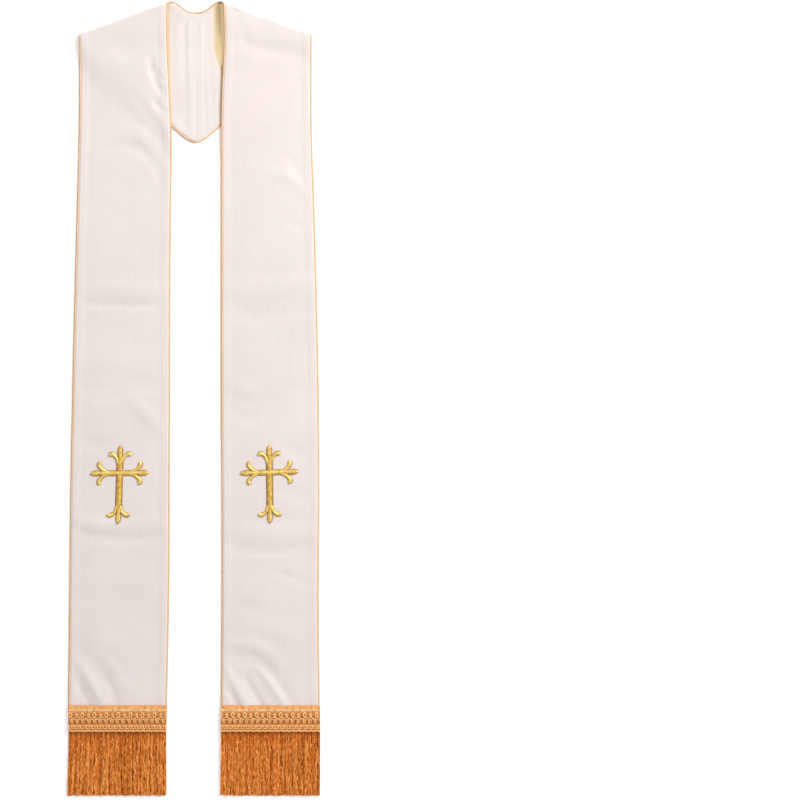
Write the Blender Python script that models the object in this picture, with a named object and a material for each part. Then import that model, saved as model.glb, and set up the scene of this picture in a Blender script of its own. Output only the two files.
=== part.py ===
"""A clerical stole, laid flat with its faces up and its pointed yoke folded underneath.

Each side is one long strip of face cloth over one of lining, both cut to the same pattern:
up the front from the hem, over the shoulder fold, and on as half of the yoke to the centre
back. A strip is cut flat in the pattern's plane and then laid round the fold, so that every
layer and the cord along its edges follow one surface. Each layer is two solids, a front and
a yoke half, that meet along the crest of the fold.

Lengths are in metres. A place on the stole is given by two distances: out, from the centre
line, and height, above the hem, where the fringe starts. +X is to the viewer's right, +Y
runs up to the neck and +Z is up from the surface that the stole lies on.
"""

import math

import bmesh
import bpy
from mathutils import Vector

# Driving dimensions of the whole stole
HEADING_DEEP = 0.0418
FRINGE_LONG = 0.1005
NECK_DIP_HEIGHT = 1.1295
NECK_PEAK_RISE = 0.0169
NECK_PEAK_OUT = 0.0366
NECK_DIP_HOLLOW = 1.6
YOKE_POINT_HEIGHT = 0.9245
YOKE_POINT_ROUND = 0.0180
YOKE_POINT_FLAT = 0.0300
SHOULDER_CORNER_OUT = 0.1826
SHOULDER_CORNER_HEIGHT = 1.0950
FOLD_SLOPE = math.radians(19.9)

# Where the part's own origin lies: under the middle of its box
CENTRE_LINE_X = 0.0032
HEM_Y = -0.5231

# Cloth, seams and cord
CLOTH = 0.0010
SEAM_GAP = 0.0003
LAYERS = 2.0 * CLOTH + SEAM_GAP
PIPING_RADIUS = 0.0014
PIPING_SIDES_LEVEL = 1
PIPING_OFFSET_FRONT = PIPING_RADIUS
PIPING_OFFSET_YOKE = LAYERS - PIPING_RADIUS
CLOTH_INSET = PIPING_RADIUS + SEAM_GAP

# The shoulder fold: a half round, with the lining inside
FOLD_RADIUS = 0.0017
FOLD_REACH = FOLD_RADIUS + LAYERS
FOLD_ARC = 0.5 * math.pi * FOLD_RADIUS
FOLD_AXIS_Z = FOLD_REACH
FOLD_TOP = FOLD_AXIS_Z + FOLD_RADIUS
FOLD_SETTLES_OVER = 0.050
FOLD_STEPS = 6

# Heights at which the front's lining lies
OVER_YOKE = 0.0033
YOKE_EDGE_CLEAR = 0.008
YOKE_EDGE_SLOPE = 0.050
HEADING_THICK = 0.0012
HEM_LIFT = HEADING_THICK + SEAM_GAP
HEM_SLOPE = 0.060

# Rows along a strip and columns across it
HEM_EDGE_HEIGHT = 0.0123
HEM_ROW_HEIGHTS = (HEM_EDGE_HEIGHT, 0.027, HEADING_DEEP, 0.060, 0.080, 0.100, 0.120, 0.142)
LONG_ROWS = 12
UPPER_START = 0.880
UPPER_ROWS = 10
YOKE_ROWS = 7
YOKE_ROW_CROWDING = 1.6
SEAM_ROW_OUT = 0.002
STRIP_COLUMNS = 8

# The heading's raised rows, from the fringe up: height on the band, raised by
HEADING_PROFILE = (
    (0.0000, 0.0002),
    (0.0006, 0.0009),
    (0.0028, 0.0009),
    (0.0038, 0.0000),
    (0.0046, 0.0005),
    (0.0124, 0.0005),
    (0.0133, 0.0000),
    (0.0192, 0.0000),
    (0.0202, 0.0009),
    (0.0306, 0.0009),
    (0.0316, 0.0003),
    (0.0408, 0.0003),
    (0.0418, 0.0000),
)
HEADING_COLUMNS = 6
HEADING_CLEAR = 2.0 * PIPING_RADIUS + SEAM_GAP

# The fringe
FRINGE_LOCKS = 52
FRINGE_STEPS = 3
FRINGE_STRIP_DEEP = 0.0120
FRINGE_STRIP_Z = HEM_LIFT
FRINGE_STRIP_THICK = 2.0 * PIPING_RADIUS
FRINGE_TIP_Z = 0.0005
FRINGE_TIP_THICK = 0.0021
FRINGE_SETTLES_BY = 0.6
FRINGE_LOCK_TAPER = 0.88
FRINGE_SWAY = 0.0022
FRINGE_WAVES_ACROSS = 2.3
FRINGE_WAVES_DOWN = 0.8
FRINGE_UNEVEN = 0.030
FRINGE_UNEVEN_TURN = 2.4

# The embroidered crosses
CROSS_STEM_HALF = 0.0058
CROSS_ARM_HALF = 0.0048
CROSS_UP = 0.0443
CROSS_DOWN = 0.0805
CROSS_ACROSS = 0.0468
CROSS_RAISED = 0.0016
CROSS_CHAMFER = 0.0009
CROSS_OFFSET = LAYERS + SEAM_GAP
WELD = 0.00001

# Half of a fleury tip, from its point back to the arm: back from the point, out from its middle
FLEURY_HALF = (
    (0.0000, 0.0000),
    (0.0040, 0.0036),
    (0.0085, 0.0050),
    (0.0128, 0.0050),
    (0.0112, 0.0110),
    (0.0118, 0.0158),
    (0.0152, 0.0178),
    (0.0184, 0.0156),
    (0.0190, 0.0112),
    (0.0222, 0.0078),
)
FLEURY_MEETS_ARM = 0.0290

# Outlines of the two fronts: height, out to the inner edge, out to the outer edge
LEFT_FRONT = (
    (-0.1005, 0.0456, 0.2019),
    (0.0000, 0.0460, 0.1994),
    (0.0500, 0.0446, 0.2002),
    (0.2070, 0.0413, 0.1987),
    (0.3640, 0.0403, 0.1971),
    (0.5210, 0.0396, 0.1941),
    (0.6780, 0.0394, 0.1905),
    (0.8350, 0.0382, 0.1863),
    (0.9290, 0.0370, 0.1838),
    (1.0070, 0.0396, 0.1830),
    (1.0860, 0.0430, 0.1832),
    (1.1500, 0.0432, 0.1838),
)
RIGHT_FRONT = (
    (-0.1005, 0.0385, 0.1954),
    (0.0000, 0.0394, 0.1956),
    (0.0500, 0.0396, 0.1950),
    (0.2070, 0.0404, 0.1935),
    (0.3640, 0.0405, 0.1946),
    (0.5210, 0.0395, 0.1938),
    (0.6780, 0.0393, 0.1908),
    (0.8350, 0.0393, 0.1865),
    (0.9290, 0.0394, 0.1832),
    (1.0070, 0.0410, 0.1825),
    (1.0860, 0.0446, 0.1828),
    (1.1500, 0.0436, 0.1838),
)

# Soft ridges of the face cloth: out, height, turn from the level, half length, half width, rise
LEFT_RIDGES = (
    (0.150, 0.092, math.radians(60.0), 0.050, 0.024, 0.0016),
    (0.120, 0.250, math.radians(4.0), 0.090, 0.050, 0.0010),
    (0.115, 0.615, math.radians(-5.0), 0.090, 0.055, 0.0012),
    (0.118, 0.800, math.radians(8.0), 0.085, 0.060, 0.0010),
)
RIGHT_RIDGES = (
    (0.083, 0.086, math.radians(-55.0), 0.055, 0.022, 0.0016),
    (0.130, 0.112, math.radians(-50.0), 0.050, 0.022, 0.0012),
    (0.118, 0.270, math.radians(6.0), 0.090, 0.050, 0.0011),
    (0.118, 0.620, math.radians(3.0), 0.090, 0.055, 0.0012),
    (0.115, 0.790, math.radians(-7.0), 0.085, 0.060, 0.0009),
)
RIDGE_EDGE_FADE = 0.030

# Sides: the sign of X, the outline, the ridges, and the cross's x from the centre line, its
# height, the lean of its stem to the right and the rise of its arms to the right
SIDES = {
    "left": {
        "sign": -1.0,
        "front": LEFT_FRONT,
        "ridges": LEFT_RIDGES,
        "cross": (-0.1193, 0.4058, math.radians(1.8), math.radians(0.7)),
    },
    "right": {
        "sign": 1.0,
        "front": RIGHT_FRONT,
        "ridges": RIGHT_RIDGES,
        "cross": (0.1159, 0.4068, math.radians(-0.7), math.radians(1.7)),
    },
}

# Finishes: base colour, roughness and metallic value
FINISHES = {
    "face": ((0.870, 0.800, 0.765), 0.55, 0.0),
    "lining": ((0.850, 0.785, 0.750), 0.50, 0.0),
    "piping": ((0.830, 0.560, 0.330), 0.45, 0.2),
    "heading": ((0.640, 0.270, 0.085), 0.50, 0.1),
    "fringe": ((0.520, 0.150, 0.030), 0.35, 0.1),
    "cross": ((0.620, 0.350, 0.060), 0.35, 0.4),
}


def smooth(value):
    """Ease from 0 to 1, level at both ends."""
    value = min(max(value, 0.0), 1.0)
    return value * value * (3.0 - 2.0 * value)


def blend(start, end, share):
    """A value part of the way from start to end."""
    return start + (end - start) * share


def table_value(rows, column, key):
    """Read a column of a table at a key between its rows, on a smooth curve."""
    keys = [row[0] for row in rows]
    after = next((k for k, value in enumerate(keys) if value >= key), len(keys) - 1)
    after = max(after, 1)
    before = after - 1

    def slope(index):
        low = max(index - 1, 0)
        high = min(index + 1, len(rows) - 1)
        return (rows[high][column] - rows[low][column]) / (keys[high] - keys[low])

    span = keys[after] - keys[before]
    t = min(max((key - keys[before]) / span, 0.0), 1.0)
    ease = smooth(t)
    start_pull = span * slope(before) * t * (1.0 - t) ** 2
    end_pull = span * slope(after) * t * t * (1.0 - t)
    return blend(rows[before][column], rows[after][column], ease) + start_pull - end_pull


def inner_edge(side, height):
    """Distance out to the front's inner edge."""
    return table_value(side["front"], 1, height)


def outer_edge(side, height):
    """Distance out to the front's outer edge."""
    return table_value(side["front"], 2, height)


def neck_edge_height(out):
    """Height of the back neck's edge, a dip between two rounded peaks."""
    return NECK_DIP_HEIGHT + NECK_PEAK_RISE * smooth(out / NECK_PEAK_OUT) ** NECK_DIP_HOLLOW


YOKE_EDGE_STEEP = (SHOULDER_CORNER_HEIGHT - YOKE_POINT_HEIGHT) / (
    math.hypot(SHOULDER_CORNER_OUT, YOKE_POINT_ROUND) - YOKE_POINT_ROUND
)


def yoke_edge_height(out):
    """Height of the yoke's lower edge, straight from the shoulder to a rounded point."""
    return YOKE_POINT_HEIGHT + YOKE_EDGE_STEEP * (math.hypot(out, YOKE_POINT_ROUND) - YOKE_POINT_ROUND)


# The fold's own directions: along it, away from the neck, and across it, away from the fronts
ALONG = Vector((math.cos(FOLD_SLOPE), -math.sin(FOLD_SLOPE)))
ACROSS = Vector((math.sin(FOLD_SLOPE), math.cos(FOLD_SLOPE)))
CORNER = Vector((SHOULDER_CORNER_OUT, SHOULDER_CORNER_HEIGHT))


def to_fold(out, height):
    """Turn a place into distances along and across the fold's outer line."""
    place = Vector((out, height)) - CORNER
    return place.dot(ALONG), place.dot(ACROSS)


def from_fold(along, across):
    """Turn distances along and across the fold's outer line back into a place."""
    place = CORNER + along * ALONG + across * ACROSS
    return place.x, place.y


def front_pattern(out, height):
    """Pattern point of a place on the front."""
    along, across = to_fold(out, height)
    return Vector((along, min(across + FOLD_REACH, 0.0) - FOLD_ARC))


def yoke_pattern(out, height):
    """Pattern point of a place on the yoke, which lies turned over under the front."""
    along, across = to_fold(out, height)
    return Vector((along, FOLD_ARC + max(-across - FOLD_REACH, 0.0)))


def front_level(out, height, across):
    """Height above the surface at which the front's lining lies."""
    past_yoke = (yoke_edge_height(out) - height) / math.hypot(1.0, YOKE_EDGE_STEEP)
    level = OVER_YOKE * (1.0 - smooth((past_yoke - YOKE_EDGE_CLEAR) / YOKE_EDGE_SLOPE))
    level += (FOLD_TOP - OVER_YOKE) * (1.0 - smooth((-across - FOLD_REACH) / FOLD_SETTLES_OVER))
    level += HEM_LIFT * (1.0 - smooth((height - HEADING_DEEP) / HEM_SLOPE))
    return level


def ridge_rise(side, out, height):
    """Rise of the face cloth where a soft ridge crosses it."""
    edge = min(out - inner_edge(side, height), outer_edge(side, height) - out)
    rise = 0.0
    for ridge_out, ridge_height, turn, half_length, half_width, top in side["ridges"]:
        dx = out - ridge_out
        dy = height - ridge_height
        lengthwise = (dx * math.cos(turn) + dy * math.sin(turn)) / half_length
        crosswise = (dy * math.cos(turn) - dx * math.sin(turn)) / half_width
        reach = math.hypot(lengthwise, crosswise)
        rise += top * (1.0 - smooth(reach))
    return rise * smooth(edge / RIDGE_EDGE_FADE)


def world_point(side, out, height, z):
    """Place in the part's own frame."""
    return Vector((CENTRE_LINE_X + side["sign"] * out, HEM_Y + height, z))


def lay_point(side, point, offset, ridged=False):
    """Lay a pattern point round the fold, moved out from the lining's inner side."""
    along, across = point.x, point.y
    if across < -FOLD_ARC:
        over = across + FOLD_ARC - FOLD_REACH
        out, height = from_fold(along, over)
        z = front_level(out, height, over) + offset
        if ridged:
            z += ridge_rise(side, out, height)
        return world_point(side, out, height, z)
    if across > FOLD_ARC:
        out, height = from_fold(along, FOLD_ARC - across - FOLD_REACH)
        return world_point(side, out, height, LAYERS - offset)
    turn = across / FOLD_RADIUS
    radius = FOLD_RADIUS + offset
    out, height = from_fold(along, radius * math.cos(turn) - FOLD_REACH)
    return world_point(side, out, height, FOLD_AXIS_Z - radius * math.sin(turn))


def height_on_fold(out):
    """Height at which the front runs into the fold, at a distance out."""
    return CORNER.y + (-FOLD_REACH - (out - CORNER.x) * ACROSS.x) / ACROSS.y


def front_rows(side):
    """Pattern points of the two piping lines, row by row, from the hem to the fold."""
    inner_top = height_on_fold(inner_edge(side, SHOULDER_CORNER_HEIGHT) + PIPING_RADIUS)
    outer_top = height_on_fold(outer_edge(side, SHOULDER_CORNER_HEIGHT) - PIPING_RADIUS)
    heights = list(HEM_ROW_HEIGHTS)
    long_start = HEM_ROW_HEIGHTS[-1]
    heights += [blend(long_start, UPPER_START, k / LONG_ROWS) for k in range(1, LONG_ROWS + 1)]
    heights += [blend(UPPER_START, inner_top, k / UPPER_ROWS) for k in range(1, UPPER_ROWS + 1)]
    rows = []
    for height in heights:
        tilt = smooth((height - UPPER_START) / (inner_top - UPPER_START))
        outer_height = height - tilt * (inner_top - outer_top)
        inner = front_pattern(inner_edge(side, height) + PIPING_RADIUS, height)
        outer = front_pattern(outer_edge(side, outer_height) - PIPING_RADIUS, outer_height)
        rows.append((inner, outer))
    return rows


def neck_line(out):
    """Place of the neck piping on the yoke."""
    return out, neck_edge_height(out) - PIPING_RADIUS


def yoke_line(out):
    """Place of the outer piping on the yoke's lower edge."""
    steep = YOKE_EDGE_STEEP * smooth(out / YOKE_POINT_FLAT)
    return out, yoke_edge_height(out) + PIPING_RADIUS * math.hypot(1.0, steep)


def out_on_fold(line, low, high):
    """Distance out at which a line of the yoke runs into the fold."""
    for _ in range(40):
        middle = 0.5 * (low + high)
        if -to_fold(*line(middle))[1] > FOLD_REACH:
            low = middle
        else:
            high = middle
    return low


def yoke_rows():
    """Pattern points of the two piping lines, row by row, from the fold to the centre back."""
    neck_start = out_on_fold(neck_line, 0.0, NECK_PEAK_OUT)
    yoke_start = out_on_fold(yoke_line, 0.0, SHOULDER_CORNER_OUT)
    shares = [k / YOKE_ROWS for k in range(YOKE_ROWS)]
    pairs = [(neck_start * (1.0 - s), yoke_start * (1.0 - s) ** YOKE_ROW_CROWDING) for s in shares]
    pairs.append((SEAM_ROW_OUT, SEAM_ROW_OUT))
    pairs.append((0.5 * SEAM_GAP, 0.5 * SEAM_GAP))
    return [(yoke_pattern(*neck_line(a)), yoke_pattern(*yoke_line(b))) for a, b in pairs]


def piping_rows(side):
    """Pattern points of the inner and the outer piping line, hem to centre back."""
    front = front_rows(side)
    yoke = yoke_rows()
    fold = []
    for k in range(1, FOLD_STEPS):
        share = k / FOLD_STEPS
        fold.append(tuple(front[-1][edge].lerp(yoke[0][edge], share) for edge in (0, 1)))
    return front + fold + yoke


def distance_to_line(point, line):
    """Shortest distance from a pattern point to a line of points."""
    nearest = math.inf
    for start, end in zip(line, line[1:]):
        step = end - start
        share = min(max((point - start).dot(step) / step.length_squared, 0.0), 1.0)
        nearest = min(nearest, (point - start.lerp(end, share)).length)
    return nearest


def move_clear(start, towards, line, clear):
    """Move from start towards another point until it lies clear of a line."""
    low, high = 0.0, 0.5
    for _ in range(30):
        middle = 0.5 * (low + high)
        if distance_to_line(start.lerp(towards, middle), line) < clear:
            low = middle
        else:
            high = middle
    return start.lerp(towards, high)


def cloth_rows(side):
    """Pattern points of the cloth's two edges, clear of the piping."""
    rows = piping_rows(side)
    inner_line = [row[0] for row in rows]
    outer_line = [row[1] for row in rows]
    return [
        (
            move_clear(inner, outer, inner_line, CLOTH_INSET),
            move_clear(outer, inner, outer_line, CLOTH_INSET),
        )
        for inner, outer in rows
    ]


def finish_for(name, kind):
    """Make a material from the finishes above."""
    colour, roughness, metallic = FINISHES[kind]
    material = bpy.data.materials.new(name)
    material.use_nodes = True
    shader = material.node_tree.nodes["Principled BSDF"]
    shader.inputs["Base Color"].default_value = (*colour, 1.0)
    shader.inputs["Roughness"].default_value = roughness
    shader.inputs["Metallic"].default_value = metallic
    material.diffuse_color = (*colour, 1.0)
    return material


def add_mesh(collection, name, bm, kind, sharp_angle=40.0):
    """Turn a closed bmesh into a finished object of the stole, its faces pointing out."""
    bmesh.ops.recalc_face_normals(bm, faces=bm.faces[:])
    if bm.calc_volume(signed=True) < 0.0:
        bmesh.ops.reverse_faces(bm, faces=bm.faces[:])
    mesh = bpy.data.meshes.new(name)
    bm.to_mesh(mesh)
    bm.free()
    mesh.shade_smooth()
    mesh.set_sharp_from_angle(angle=math.radians(sharp_angle))
    mesh.materials.append(finish_for(name, kind))
    piece = bpy.data.objects.new(name, mesh)
    collection.objects.link(piece)
    return piece


def cut_sheet(columns, rows):
    """A flat sheet of unit size and thickness, cut into cells and split the same way on both sides."""
    bm = bmesh.new()
    bmesh.ops.create_grid(bm, x_segments=columns, y_segments=rows, size=0.5)
    bmesh.ops.translate(bm, verts=bm.verts[:], vec=(0.5, 0.5, 0.0))
    bmesh.ops.triangulate(bm, faces=bm.faces[:], quad_method="FIXED")
    raised = bmesh.ops.extrude_face_region(bm, geom=bm.faces[:], use_keep_orig=True)
    top = [item for item in raised["geom"] if isinstance(item, bmesh.types.BMVert)]
    bmesh.ops.translate(bm, verts=top, vec=(0.0, 0.0, 1.0))
    return bm


def strip_parts(side, low):
    """Rows of a layer's front and of its yoke half, parted by a hair along the fold's crest."""
    rows = cloth_rows(side)
    crest = len(front_rows(side)) + FOLD_STEPS // 2 - 1
    gap = Vector((0.0, 0.5 * SEAM_GAP * FOLD_RADIUS / (FOLD_RADIUS + low)))
    before = tuple(point - gap for point in rows[crest])
    after = tuple(point + gap for point in rows[crest])
    return {"front": rows[:crest] + [before], "yoke": [after] + rows[crest + 1 :]}


def add_strip(collection, label, side, kind, low, high):
    """One layer of a strip, between two offsets from the lining's inner side."""
    for stretch, rows in strip_parts(side, low).items():
        bm = cut_sheet(STRIP_COLUMNS, len(rows) - 1)
        for vertex in bm.verts:
            inner, outer = rows[round(vertex.co.y * (len(rows) - 1))]
            point = inner.lerp(outer, vertex.co.x)
            vertex.co = lay_point(side, point, blend(low, high, vertex.co.z), kind == "face")
        add_mesh(collection, f"{label}_{stretch}_{kind}", bm, kind)


def add_piping(collection, name, side, edge):
    """The covered cord along one edge of a strip, from the hem to the centre back."""
    curve = bpy.data.curves.new(name, "CURVE")
    curve.dimensions = "3D"
    curve.bevel_depth = PIPING_RADIUS
    curve.bevel_resolution = PIPING_SIDES_LEVEL
    curve.use_fill_caps = True
    points = []
    for row in piping_rows(side):
        point = row[edge]
        turned = 0.5 + 0.5 * min(max(point.y / FOLD_ARC, -1.0), 1.0)
        offset = blend(PIPING_OFFSET_FRONT, PIPING_OFFSET_YOKE, turned)
        points.append(lay_point(side, point, offset))
    spline = curve.splines.new("POLY")
    spline.points.add(len(points) - 1)
    for spot, point in zip(spline.points, points):
        spot.co = (*point, 1.0)
    curve.materials.append(finish_for(name, "piping"))
    piece = bpy.data.objects.new(name, curve)
    collection.objects.link(piece)
    return piece


def add_heading_front(collection, name, side):
    """The gimp band on the face, with its rows raised."""
    bm = cut_sheet(HEADING_COLUMNS, len(HEADING_PROFILE) - 1)
    for vertex in bm.verts:
        height, raised = HEADING_PROFILE[round(vertex.co.y * (len(HEADING_PROFILE) - 1))]
        out = blend(inner_edge(side, height), outer_edge(side, height), vertex.co.x)
        base = HEM_LIFT + HEADING_CLEAR
        z = base + vertex.co.z * (HEADING_THICK + raised)
        vertex.co = world_point(side, out, height, z)
    return add_mesh(collection, name, bm, "heading", 20.0)


def add_heading_back(collection, name, side):
    """The same band under the hem, flat where the stole rests on it."""
    bm = cut_sheet(HEADING_COLUMNS, 1)
    for vertex in bm.verts:
        height = vertex.co.y * HEADING_DEEP
        out = blend(inner_edge(side, height), outer_edge(side, height), vertex.co.x)
        vertex.co = world_point(side, out, height, vertex.co.z * HEADING_THICK)
    return add_mesh(collection, name, bm, "heading")


def lay_lock_point(side, across, down, through):
    """Lay a point of the fringe: down is 0 at the roots, FRINGE_STEPS at the tips, -1 above."""
    if down < 0.0:
        height = FRINGE_STRIP_DEEP - SEAM_GAP
    else:
        height = -FRINGE_LONG * down / FRINGE_STEPS
    hang = max(down, 0.0) / FRINGE_STEPS
    settled = smooth(hang / FRINGE_SETTLES_BY)
    low = blend(FRINGE_STRIP_Z, FRINGE_TIP_Z, settled)
    thick = blend(FRINGE_STRIP_THICK, FRINGE_TIP_THICK, settled)
    waves = FRINGE_WAVES_ACROSS * across + FRINGE_WAVES_DOWN * hang
    sway = FRINGE_SWAY * hang * math.sin(2.0 * math.pi * waves)
    out = blend(inner_edge(side, height), outer_edge(side, height), across) + sway
    return world_point(side, out, height, low + through * thick)


def add_fringe(collection, name, side):
    """The fringe: locks that hang from alternate cells of a narrow strip."""
    cells = 2 * FRINGE_LOCKS - 1
    bm = bmesh.new()
    bmesh.ops.create_grid(bm, x_segments=cells, y_segments=1, size=0.5)
    for vertex in bm.verts:
        vertex.co = (vertex.co.x + 0.5, 0.0, vertex.co.y + 0.5)
    roots = sorted(bm.faces, key=lambda face: face.calc_center_median().x)
    locks = roots[::2]
    raised = bmesh.ops.extrude_face_region(bm, geom=roots, use_keep_orig=True)
    for item in raised["geom"]:
        if isinstance(item, bmesh.types.BMVert):
            item.co.y = -1.0
    for step in range(1, FRINGE_STEPS + 1):
        locks = bmesh.ops.extrude_discrete_faces(bm, faces=locks)["faces"]
        for number, face in enumerate(locks):
            middle = face.calc_center_median()
            uneven = 0.0
            if step == FRINGE_STEPS:
                uneven = FRINGE_UNEVEN * (0.5 + 0.5 * math.sin(FRINGE_UNEVEN_TURN * number))
            for vertex in face.verts:
                vertex.co.x = blend(middle.x, vertex.co.x, FRINGE_LOCK_TAPER)
                vertex.co.y = step - FRINGE_STEPS * uneven
    for vertex in bm.verts:
        vertex.co = lay_lock_point(side, vertex.co.x, vertex.co.y, vertex.co.z)
    return add_mesh(collection, name, bm, "fringe", 50.0)


def cross_arm(length, arm_half, next_half):
    """Points round one arm, from one inner corner over its tip to the other, pointing up."""
    half = [(out, length - back) for back, out in FLEURY_HALF]
    half.append((arm_half, length - FLEURY_MEETS_ARM))
    right = list(reversed(half))
    left = [(-out, up) for out, up in half[1:]]
    return [(arm_half, next_half)] + right + left


def cross_outline():
    """The whole outline of a cross, anticlockwise, about the middle of its crossing."""
    arms = (
        (0.0, CROSS_ACROSS, CROSS_ARM_HALF, CROSS_STEM_HALF),
        (90.0, CROSS_UP, CROSS_STEM_HALF, CROSS_ARM_HALF),
        (180.0, CROSS_ACROSS, CROSS_ARM_HALF, CROSS_STEM_HALF),
        (270.0, CROSS_DOWN, CROSS_STEM_HALF, CROSS_ARM_HALF),
    )
    outline = []
    for turn, length, arm_half, next_half in arms:
        angle = math.radians(turn - 90.0)
        for out, up in cross_arm(length, arm_half, next_half):
            x = out * math.cos(angle) - up * math.sin(angle)
            y = out * math.sin(angle) + up * math.cos(angle)
            outline.append((x, y))
    return outline


def add_cross(collection, name, side):
    """A padded cross fleury on the front, its upper rim chamfered."""
    x_from_centre, height, lean, rise = side["cross"]
    curve = bpy.data.curves.new(name, "CURVE")
    curve.dimensions = "2D"
    curve.fill_mode = "BOTH"
    curve.extrude = 0.5 * CROSS_RAISED
    spline = curve.splines.new("POLY")
    outline = cross_outline()
    spline.points.add(len(outline) - 1)
    for spot, (x, y) in zip(spline.points, outline):
        spot.co = (x, y, 0.0, 1.0)
    spline.use_cyclic_u = True
    flat = bpy.data.objects.new(name + "_outline", curve)
    collection.objects.link(flat)
    bpy.context.view_layer.update()
    mesh = bpy.data.meshes.new_from_object(flat.evaluated_get(bpy.context.evaluated_depsgraph_get()))
    bpy.data.objects.remove(flat, do_unlink=True)
    bm = bmesh.new()
    bm.from_mesh(mesh)
    bpy.data.meshes.remove(mesh)
    bmesh.ops.remove_doubles(bm, verts=bm.verts[:], dist=WELD)
    bmesh.ops.recalc_face_normals(bm, faces=bm.faces[:])
    top = 0.5 * CROSS_RAISED
    rim = [
        edge
        for edge in bm.edges
        if all(abs(vertex.co.z - top) < 0.1 * CROSS_RAISED for vertex in edge.verts)
        and any(abs(face.normal.z) < 0.5 for face in edge.link_faces)
    ]
    bmesh.ops.bevel(bm, geom=rim, offset=CROSS_CHAMFER, segments=1, affect="EDGES", clamp_overlap=True)
    middle = Vector((CENTRE_LINE_X + x_from_centre, HEM_Y + height, CROSS_OFFSET + top))
    for vertex in bm.verts:
        x = vertex.co.x * math.cos(rise) + vertex.co.y * math.sin(lean)
        y = vertex.co.y * math.cos(lean) + vertex.co.x * math.sin(rise)
        vertex.co = middle + Vector((x, y, vertex.co.z))
    return add_mesh(collection, name, bm, "cross", 25.0)


def build():
    """Model the whole stole."""
    for old in list(bpy.data.objects):
        bpy.data.objects.remove(old, do_unlink=True)
    collection = bpy.data.collections.new("clerical_stole")
    bpy.context.scene.collection.children.link(collection)
    for label, side in SIDES.items():
        add_strip(collection, label, side, "lining", 0.0, CLOTH)
        add_strip(collection, label, side, "face", CLOTH + SEAM_GAP, LAYERS)
        add_piping(collection, label + "_neck_piping", side, 0)
        add_piping(collection, label + "_outer_piping", side, 1)
        add_heading_front(collection, label + "_heading_front", side)
        add_heading_back(collection, label + "_heading_back", side)
        add_fringe(collection, label + "_fringe", side)
        add_cross(collection, label + "_cross", side)


build()
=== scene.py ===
"""Dress a clerical stole that lies flat, its faces up and its pointed yoke folded underneath.

A place on the stole is given by two distances: out, from the centre line, and height, above the
hem, where the fringe starts. +X is to the viewer's right, +Y runs up to the neck and +Z is up.
Lengths are in metres, and tables marked so are in millimetres.
"""

import logging
import math
from dataclasses import dataclass
from enum import Enum

import bpy
import numpy as np
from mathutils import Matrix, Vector


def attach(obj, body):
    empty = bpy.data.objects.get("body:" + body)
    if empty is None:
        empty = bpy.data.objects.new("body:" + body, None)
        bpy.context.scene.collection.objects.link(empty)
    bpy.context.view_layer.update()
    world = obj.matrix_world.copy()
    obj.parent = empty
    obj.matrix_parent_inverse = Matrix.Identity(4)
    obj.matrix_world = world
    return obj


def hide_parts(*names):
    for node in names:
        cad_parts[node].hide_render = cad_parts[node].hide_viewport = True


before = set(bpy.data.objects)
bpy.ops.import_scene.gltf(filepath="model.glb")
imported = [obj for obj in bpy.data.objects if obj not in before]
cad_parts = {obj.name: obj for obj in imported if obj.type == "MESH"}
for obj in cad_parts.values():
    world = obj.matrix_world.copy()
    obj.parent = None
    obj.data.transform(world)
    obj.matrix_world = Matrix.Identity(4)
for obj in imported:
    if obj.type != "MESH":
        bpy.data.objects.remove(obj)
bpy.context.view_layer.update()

Array = np.ndarray
Colour = tuple[float, float, float]
UP = (0.0, 0.0, 1.0)
log = logging.getLogger("stole")

MM = 0.001

# Where the stole lies: its centre line and the line of its hems
CENTRE_LINE_X = 0.0032
HEM_Y = -0.5231
HEADING_DEEP = 0.0418
FRINGE_LONG = 0.1005

# The two layers of a strip and the covered cord along its edges
CLOTH = 0.0010
LAYERS = 0.0023
CORD_RADIUS = 0.0014
CORD_OFFSET_FRONT = CORD_RADIUS
CORD_OFFSET_YOKE = LAYERS - CORD_RADIUS


class Hand(Enum):
    """Which side of the stole, as the viewer sees it, and the sign of its X."""

    LEFT = -1.0
    RIGHT = 1.0

    @property
    def word(self) -> str:
        """The side's name in lower case."""
        return self.name.lower()


class Layer(Enum):
    """One of the two cloths of a strip."""

    LINING = "lining"
    FACE = "face"


class Edge(Enum):
    """One of the two corded edges of a strip."""

    NECK = 0
    OUTER = 1


class Band(Enum):
    """The heading on the face of the hem or the one under it."""

    FRONT = "front"
    BACK = "back"


def smooth(value: Array) -> Array:
    """Ease from 0 to 1, level at both ends."""
    value = np.clip(value, 0.0, 1.0)
    return value * value * (3.0 - 2.0 * value)


def blend(start: Array, end: Array, share: Array) -> Array:
    """A value part of the way from start to end."""
    return start + (end - start) * share


def unit(vectors: Array) -> Array:
    """The same directions with a length of one."""
    return vectors / np.maximum(np.linalg.norm(vectors, axis=-1, keepdims=True), 1e-12)


def wave(turns: Array) -> Array:
    """A sine wave, its phase given in whole turns."""
    return np.sin(2.0 * math.pi * turns)


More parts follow.
